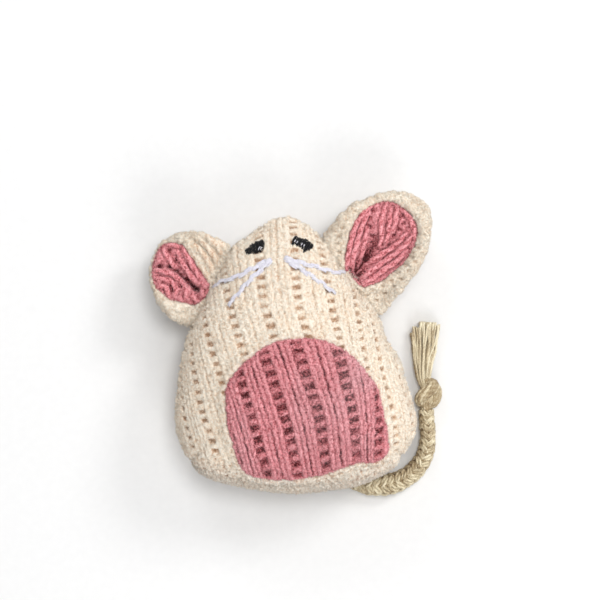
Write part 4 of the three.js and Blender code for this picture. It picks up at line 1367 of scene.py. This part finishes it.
# Seam in shares of the body's half sizes, outline in shares of the ear's length and of half its
# seam, all other places in steps of the photograph. Sizes are millimetres, and fold is in degrees.
EARS = {
    "right": dict(
        seam=[(0.68, 0.285), (0.204, 0.847)], length=36.2, cup=6.0, fold=21,
        outline=[(0, -1), (0.2, -0.9), (0.43, -0.79), (0.67, -0.58), (0.83, -0.32),
                 (0.95, -0.02), (1, 0.2), (0.97, 0.5), (0.85, 0.82), (0.64, 1.02), (0.4, 1.16),
                 (0.17, 1.07), (0, 1)],
        lining=[(349, 274), (344.6, 268.6), (344.8, 262), (346.5, 252), (348.3, 243), (350.6, 232),
                (355, 222), (361, 213), (368, 207), (376.4, 202.3), (387.6, 200), (397.5, 203.4),
                (405, 209), (412, 216.4), (417, 225), (418, 236), (412.4, 250.4), (404, 263),
                (392.8, 272.4), (381.6, 280.8), (370.3, 285.3), (363, 287.6), (356, 282.6)],
        crease=[(376, 238), (372, 247), (365, 258), (355, 273)], crease_depth=5.6,
        crease_width=2.2, flank=1.2, lumps=0.25,
        strands=[
            [(346.5, 270), (348, 257), (350.6, 243.5), (353.6, 232), (357.4, 222), (364, 212.6),
             (371, 205.6)],
            [(351.8, 273), (353.4, 257), (357, 243.5), (360, 232), (364, 221), (369.6, 211)],
            [(356.7, 270), (360.6, 257), (363.6, 246), (366, 236.5), (367.6, 226.5)],
            [(380, 247), (382, 236), (381, 225), (383.4, 214), (386, 204)],
            [(386, 243), (388.6, 232), (389.6, 221), (391, 207)],
            [(392.8, 231), (395.6, 221), (397, 208)],
            [(415.4, 239), (414, 228), (410, 218), (404.4, 211)],
            [(358, 274), (369, 263), (380.6, 254.8), (391.6, 248), (401.6, 239), (409, 230)],
            [(361, 279), (372, 270), (383.4, 262), (396, 253.4), (407, 243.6), (413.6, 233.6)],
            [(363.6, 283), (374, 277.6), (385, 269), (396, 262), (407, 250.6)],
        ],
        pits=[(373.5, 210), (370, 218), (371, 227), (372, 235.5), (402, 216), (403.6, 222.6),
              (399.6, 229), (394.6, 236), (389.6, 244.6), (384, 250.6)],
        cream_strands=[],
        cream_pits=[(354, 211), (347.6, 218.8), (342.4, 227.6), (338.8, 236), (336.4, 244),
                    (339, 252.6), (367.5, 295.4), (373.2, 290), (382.7, 285.8), (390.8, 280),
                    (399, 273), (406, 265.4), (412.4, 257.4), (417.6, 248.2), (376, 300),
                    (385, 293.4), (393.6, 287), (401, 279), (408.6, 270.6), (415, 261.6)]),
    "left": dict(
        seam=[(-0.533, 0.775), (-0.876, 0.195)], length=21.9, cup=4.0, fold=-10,
        outline=[(0, -1), (0.2, -0.99), (0.45, -0.97), (0.7, -0.85), (0.87, -0.64),
                 (0.99, -0.38), (1, 0), (0.93, 0.33), (0.79, 0.58), (0.61, 0.79), (0.42, 0.92),
                 (0.2, 1.0), (0, 1)],
        lining=[(162.5, 244.5), (171.6, 242), (181.5, 244), (190, 254.6), (199, 268.4),
                (204.8, 279), (209, 286.6), (205, 296.5), (199, 302.5), (193, 304.6), (184, 302.6),
                (168, 298.6), (158, 291), (153.6, 283), (152, 274), (152.8, 264), (156.6, 253)],
        crease=[(159, 265.6), (169, 267), (178.6, 273), (186.4, 280), (197, 290)],
        crease_depth=3.6, crease_width=1.1, flank=0.8, lumps=0.55,
        strands=[
            [(181.5, 246), (185, 253), (189, 260), (193, 267), (197.6, 274.6), (202, 281),
             (206, 286)],
            [(178, 257), (183, 265), (188.5, 273), (193.6, 280), (198, 284)],
            [(161.6, 247), (165.3, 254), (170, 261), (175.6, 268)],
            [(167, 246), (173, 244.6), (178.6, 246.6)],
            [(172, 252.6), (176.4, 251.4), (180, 256)],
            [(155.6, 270), (163, 271.6), (171, 274), (178, 279), (184, 285)],
            [(156, 278.6), (164.6, 279), (172, 282.6), (176, 290), (174, 297)],
            [(158.6, 287), (165, 286.6), (167.6, 293)],
            [(184, 287), (185.7, 293), (186.4, 299.6)],
            [(191, 295), (194.6, 299), (198, 301.6)],
        ],
        pits=[(160, 266.4), (168.8, 267), (174.5, 260), (180, 268), (186.4, 279), (192, 286),
              (195, 289), (198.6, 290.6), (169.5, 251), (181, 286), (163.2, 288.6), (171.4, 290),
              (206, 292)],
        cream_strands=[
            [(185.4, 245), (190.6, 251.6), (196.4, 258.6), (201, 266.6), (206, 274), (209.4, 281)],
            [(187, 238.4), (194.6, 244.6), (201.4, 251.4), (206.4, 259.6), (211, 268),
             (213.6, 275)],
            [(195, 236), (203, 242.6), (209.6, 250), (214.4, 257.6), (217.6, 265)],
            [(205, 235.6), (213.4, 242), (219, 249.6), (222, 256)],
            [(214.6, 238.6), (221.6, 245), (226, 250)],
        ],
        cream_pits=[]),
}
LINING_STRAND = 1.05
CREAM_STRAND = 1.25
HEM_RADIUS = 1.3
HEM_TUCK = 2.4
EAR_BACK = 2.4
EAR_LINING = 2.2
RIM_RELIEF = 0.7
EAR_GRID = 210
EAR_RINGS = np.linspace(1, 0, 52)[1:-1]
LINING_GRID = 200
LINING_RINGS = (1.0, 0.8, 0.5, 0.2)
# Length out from the hem; blend measures it but bends nothing
EAR_BEND = 5
LINE_POINTS = 64
# How square the ear's edge is, in section
EAR_ROUNDING = 5.0


class Ear:
    """One ear in its own frame: x outward from the hem, y along it, z up from the seam's height."""

    def __init__(self, side):
        self.side = side
        for key, value in EARS[side].items():
            setattr(self, key, value)
        start, end = (np.array(place) * BODY_HALF for place in self.seam)
        self.half = np.linalg.norm(end - start) / 2
        self.along = unit(end - start)
        self.out = np.array([self.along[1], -self.along[0]])
        self.root = (start + end) / 2 + self.out * (HEM_RADIUS + CLEARANCE)
        rim = smooth_curve(np.array(self.outline) * (self.length, self.half), 500)
        across = np.linspace(1, -1, 162)[1:-1]
        hem = np.stack([-HEM_TUCK * (1 - across ** 6), across * self.half], axis=1)
        self.middle = np.array([self.length * 0.45, 0.0])
        self.rim = np.vstack([rim, hem]) - self.middle
        lining_rim = smooth_curve(self.local(steps_to_mm(self.lining)), 500, closed=True)
        self.lining_middle = (lining_rim.min(axis=0) + lining_rim.max(axis=0)) / 2
        self.lining_rim = lining_rim - self.lining_middle
        self.crease_line = smooth_curve(self.local(steps_to_mm(self.crease)), 60)
        self.strand_lines = self.lines(self.strands)
        self.cream_lines = self.lines(self.cream_strands)

    def local(self, flat):
        return (flat - self.root) @ np.stack([self.out, self.along], axis=1)

    def flat(self, x, y):
        return self.root + x[:, None] * self.out + y[:, None] * self.along

    def lines(self, paths):
        return [smooth_curve(self.local(steps_to_mm(steps)), LINE_POINTS) for steps in paths]

    def world(self, x, y, z):
        return np.column_stack([self.flat(x, y), z + SEAM_HEIGHT])

    def steps(self, x, y):
        return mm_to_steps(*self.flat(x, y).T)

    def swell(self, x):
        return smoothstep(x, 0, self.length * 0.3)

    def cup_floor(self, x, y):
        turn = math.radians(self.fold)
        across = -math.sin(turn) * (x - 0.1 * self.length) + math.cos(turn) * y
        return self.cup * self.swell(x) * ((across / self.half) ** 2 - 0.35)

    def half_depth(self, x):
        full = EAR_BACK + CLEARANCE + EAR_LINING + RIM_RELIEF
        return lerp(HEM_RADIUS, full / 2, self.swell(x))

    def valley(self, x, y):
        """Depth of the pinched crease, between two flanks that stand up beside it."""
        gaps = np.hypot(x[:, None] - self.crease_line[:, 0], y[:, None] - self.crease_line[:, 1])
        along = gaps.argmin(axis=1) / (len(self.crease_line) - 1)
        gap = gaps.min(axis=1)
        width = self.crease_width * lerp(0.75, 1, along)
        deep = self.crease_depth * lerp(0.3, 1, along) * bell(gap, 0, width)
        return deep - self.flank * lerp(0.4, 1, along) * bell(gap, 2.2 * width, width)

    def top(self, x, y):
        return self.cup_floor(x, y) + self.half_depth(x) - self.valley(x, y)

    def face(self, x, y):
        """Height of the ear's upper side, which falls off to nothing at its rim."""
        floor = self.cup_floor(x, y)
        inset = inset_in(self.rim, self.middle, x, y)
        away = np.hypot(x - self.middle[0], y - self.middle[1])
        fall = rounded_drop(np.clip(away / (away + inset), 0, 1), EAR_ROUNDING)
        return floor + (self.top(x, y) - floor) * fall

    def lining_depth(self, x):
        return lerp(1.0, EAR_LINING + 0.2, self.swell(x))

    def lining_inset(self, x, y):
        return inset_in(self.lining_rim, self.lining_middle, x, y)

    def blend(self, piece):
        start = Vector((*self.root, SEAM_HEIGHT)) * MM
        end = start + Vector((*self.out, 0)) * EAR_BEND * MM
        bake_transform(piece)

    def finish(self, shape, part, slot, sheet_quads, density, speckle, fill):
        """Makes one cloth of the ear with its pile."""
        name = f"knitted_{self.side}_{part}"
        fibres = make_fibres(shape, sheet_quads, f"{name}_pile", slot, None, density, speckle)
        cloth = made_piece(shape, name, slot, None)
        self.blend(fibres)
        self.blend(cloth)
        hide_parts(f"{self.side}_{part}")


def ear_strands(ear, lines, radius, lift):
    """Thick twisted ribs that stand up from an ear's knit, with their own pile."""
    shape = Shape()
    taper = np.sqrt(np.sin(math.pi * np.linspace(0.06, 0.94, LINE_POINTS)))
    for line in lines:
        x, y = line.T
        height = ear.face(x, y) + lift
        tube(shape, ear.world(x, y, height - radius * (1 - taper)), radius * lerp(0.6, 1, taper),
             sides=14, plies=2, ply_pitch=4.4, ply_depth=0.22, tone=0.02 + 0.1 * rng.random())
    if lines:
        shape.join(fibres_of(shape, len(shape.quads), 7.0, speckle=0.2))
    return shape


def beside_strands(x, y, lines, radius):
    """How near a place lies to the side of a strand, from 0 to 1."""
    gap = np.full(len(x), FAR)
    for line in lines:
        away = np.hypot(x[:, None] - line[:, 0], y[:, None] - line[:, 1])
        gap = np.minimum(gap, away.min(axis=1))
    return bell(gap, radius, 0.5)


def in_pits(ear, x, y, pits, wide, tall):
    """How deep in a hole of the knit a place of an ear lies, from 0 to 1."""
    px, py = ear.steps(x, y)
    deep = np.zeros(len(px))
    for middle_x, middle_y in pits:
        hole = np.exp(-((px - middle_x) / wide) ** 4 - ((py - middle_y) / tall) ** 4)
        deep = np.maximum(deep, hole)
    return deep


def make_ear_back(ear):
    def rounded(turn, share):
        share = np.sin(share * math.pi / 2)
        x, y = place_in(ear.rim, ear.middle, turn, share)
        return x, y, ear.cup_floor(x, y), rounded_drop(share, EAR_ROUNDING)

    def top(turn, share):
        x, y, floor, fall = rounded(turn, share)
        inset = ear.lining_inset(x, y)
        sunk = (ear.lining_depth(x) + 0.5) * smoothstep(inset, -0.8, 0.4)
        proud = bell(inset, -2.2, 1.6) * ear.swell(x)
        return ear.world(x, y, floor + (ear.top(x, y) - floor + proud - sunk) * fall)

    def bottom(turn, share):
        x, y, floor, fall = rounded(turn, share)
        depth = ear.half_depth(x) + 0.8 * smoothstep(ear.lining_inset(x, y), -1.4, 0.4)
        return ear.world(x, y, floor - np.maximum(depth, ear.valley(x, y)) * fall)

    shape, _ = pillow(EAR_GRID, EAR_RINGS, top, bottom)
    x, y = ear.local(shape.points[:, :2]).T
    edge = inset_in(ear.rim, ear.middle, x, y)
    lump = tufts(flat_points(x, y), 2.3, 33) - 0.5
    beside = beside_strands(x, y, ear.cream_lines, CREAM_STRAND)
    deep = in_pits(ear, x, y, ear.cream_pits, 2.6, 1.7)
    relief = 0.45 * lump + 0.4 * bell(edge, 1.8, 1.6) - 0.5 * beside - 0.6 * deep
    # Painted shade beside the strands, in the holes and between the lumps
    tone = -0.08 - 0.2 * lump + 0.2 * beside + 0.4 * deep
    calm = smoothstep(edge, 0.0, 1.2)
    relief = lerp(1.2 * lump, relief, calm)
    dress(shape, len(shape.points), relief, lerp(-0.04, tone, calm), 31, 1.2)
    quad_count = len(shape.quads)
    shape.join(ear_strands(ear, ear.cream_lines, CREAM_STRAND, -0.1))
    ear.finish(shape, "ear_back", "cream_chenille", quad_count, 7.0, FIBRE_SPECKLE, 0.4)


def make_ear_lining(ear):
    def top(turn, share):
        x, y = place_in(ear.lining_rim, ear.lining_middle, turn, share)
        lift = lerp(-1.1, 0.05, rounded_drop(share, 8.0)) + 0.5 * (1 - ear.swell(x))
        return ear.world(x, y, ear.face(x, y) + lift)

    def bottom(turn, share):
        x, y = place_in(ear.lining_rim, ear.lining_middle, turn, share * 0.97)
        return ear.world(x, y, ear.face(x, y) - ear.lining_depth(x))

    shape, count = pillow(LINING_GRID, LINING_RINGS, top, bottom)
    share, turn = disc_grid(LINING_GRID)
    x, y = place_in(ear.lining_rim, ear.lining_middle, turn, share)
    lump = tufts(flat_points(x, y), 2.2, 41) - 0.5
    beside = beside_strands(x, y, ear.strand_lines, LINING_STRAND)
    deep = in_pits(ear, x, y, ear.pits, 2.7, 2.3)
    relief = ear.lumps * 2 * lump - 0.5 * beside - 0.6 * deep
    # Painted shade beside the strands, in the holes, between the lumps and deep in the crease
    tone = 0.14 - ear.lumps * lump + 0.26 * beside + 0.45 * deep
    tone = np.clip(tone + 0.25 * np.maximum(ear.valley(x, y), 0), 0, 1)
    edge = (1 - share) * reach_of(ear.lining_rim, turn)
    calm = smoothstep(edge, 0.0, 1.2)
    dress(shape, count, relief * calm, lerp(0.3, tone, calm), 43, 0.75)
    shape.join(ear_strands(ear, ear.strand_lines, LINING_STRAND, 0.25))
    sheet_quads = (LINING_GRID - 1) ** 2
    ear.finish(shape, "ear_lining", "pink_chenille", sheet_quads, 8.0, PILE_SPECKLE, 0.3)


for ear_side in EARS:
    ear = Ear(ear_side)
    make_ear_back(ear)
    make_ear_lining(ear)


# Floor and world

FLOOR_HALF = 3.0
WORLD_LIGHT = 0.45


def make_stage():
    n = Nodes("floor")
    grain = n.clouds(3.0, Detail=2.0)
    colour = n.mix(grain, linear(0.93, 0.93, 0.93), linear(0.95, 0.95, 0.95))
    mesh = bpy.data.meshes.new("floor")
    corners = [(-1, -1), (1, -1), (1, 1), (-1, 1)]
    mesh.from_pydata(
        [(x * FLOOR_HALF, y * FLOOR_HALF, 0) for x, y in corners], [], [(0, 1, 2, 3)])
    mesh.materials.append(n.finish(colour, 0.9))
    floor = bpy.data.objects.new("floor", mesh)
    bpy.context.scene.collection.objects.link(floor)
    world = bpy.data.worlds.new("world")
    world.use_nodes = True
    world.node_tree.nodes["Background"].inputs["Color"].default_value = (1, 1, 1, 1)
    world.node_tree.nodes["Background"].inputs["Strength"].default_value = WORLD_LIGHT
    bpy.context.scene.world = world
    for lamp in LAMPS:
        make_lamp(*lamp)
    bpy.context.scene.view_settings.view_transform = "Standard"


make_stage()

# Every node of the frame gets the finish of its slot

for part in frame["record"]["subparts"]:
    node = frame["nodes"][part["node"]]
    node.data.materials.clear()
    node.data.materials.append(materials[part["material_slot"]])
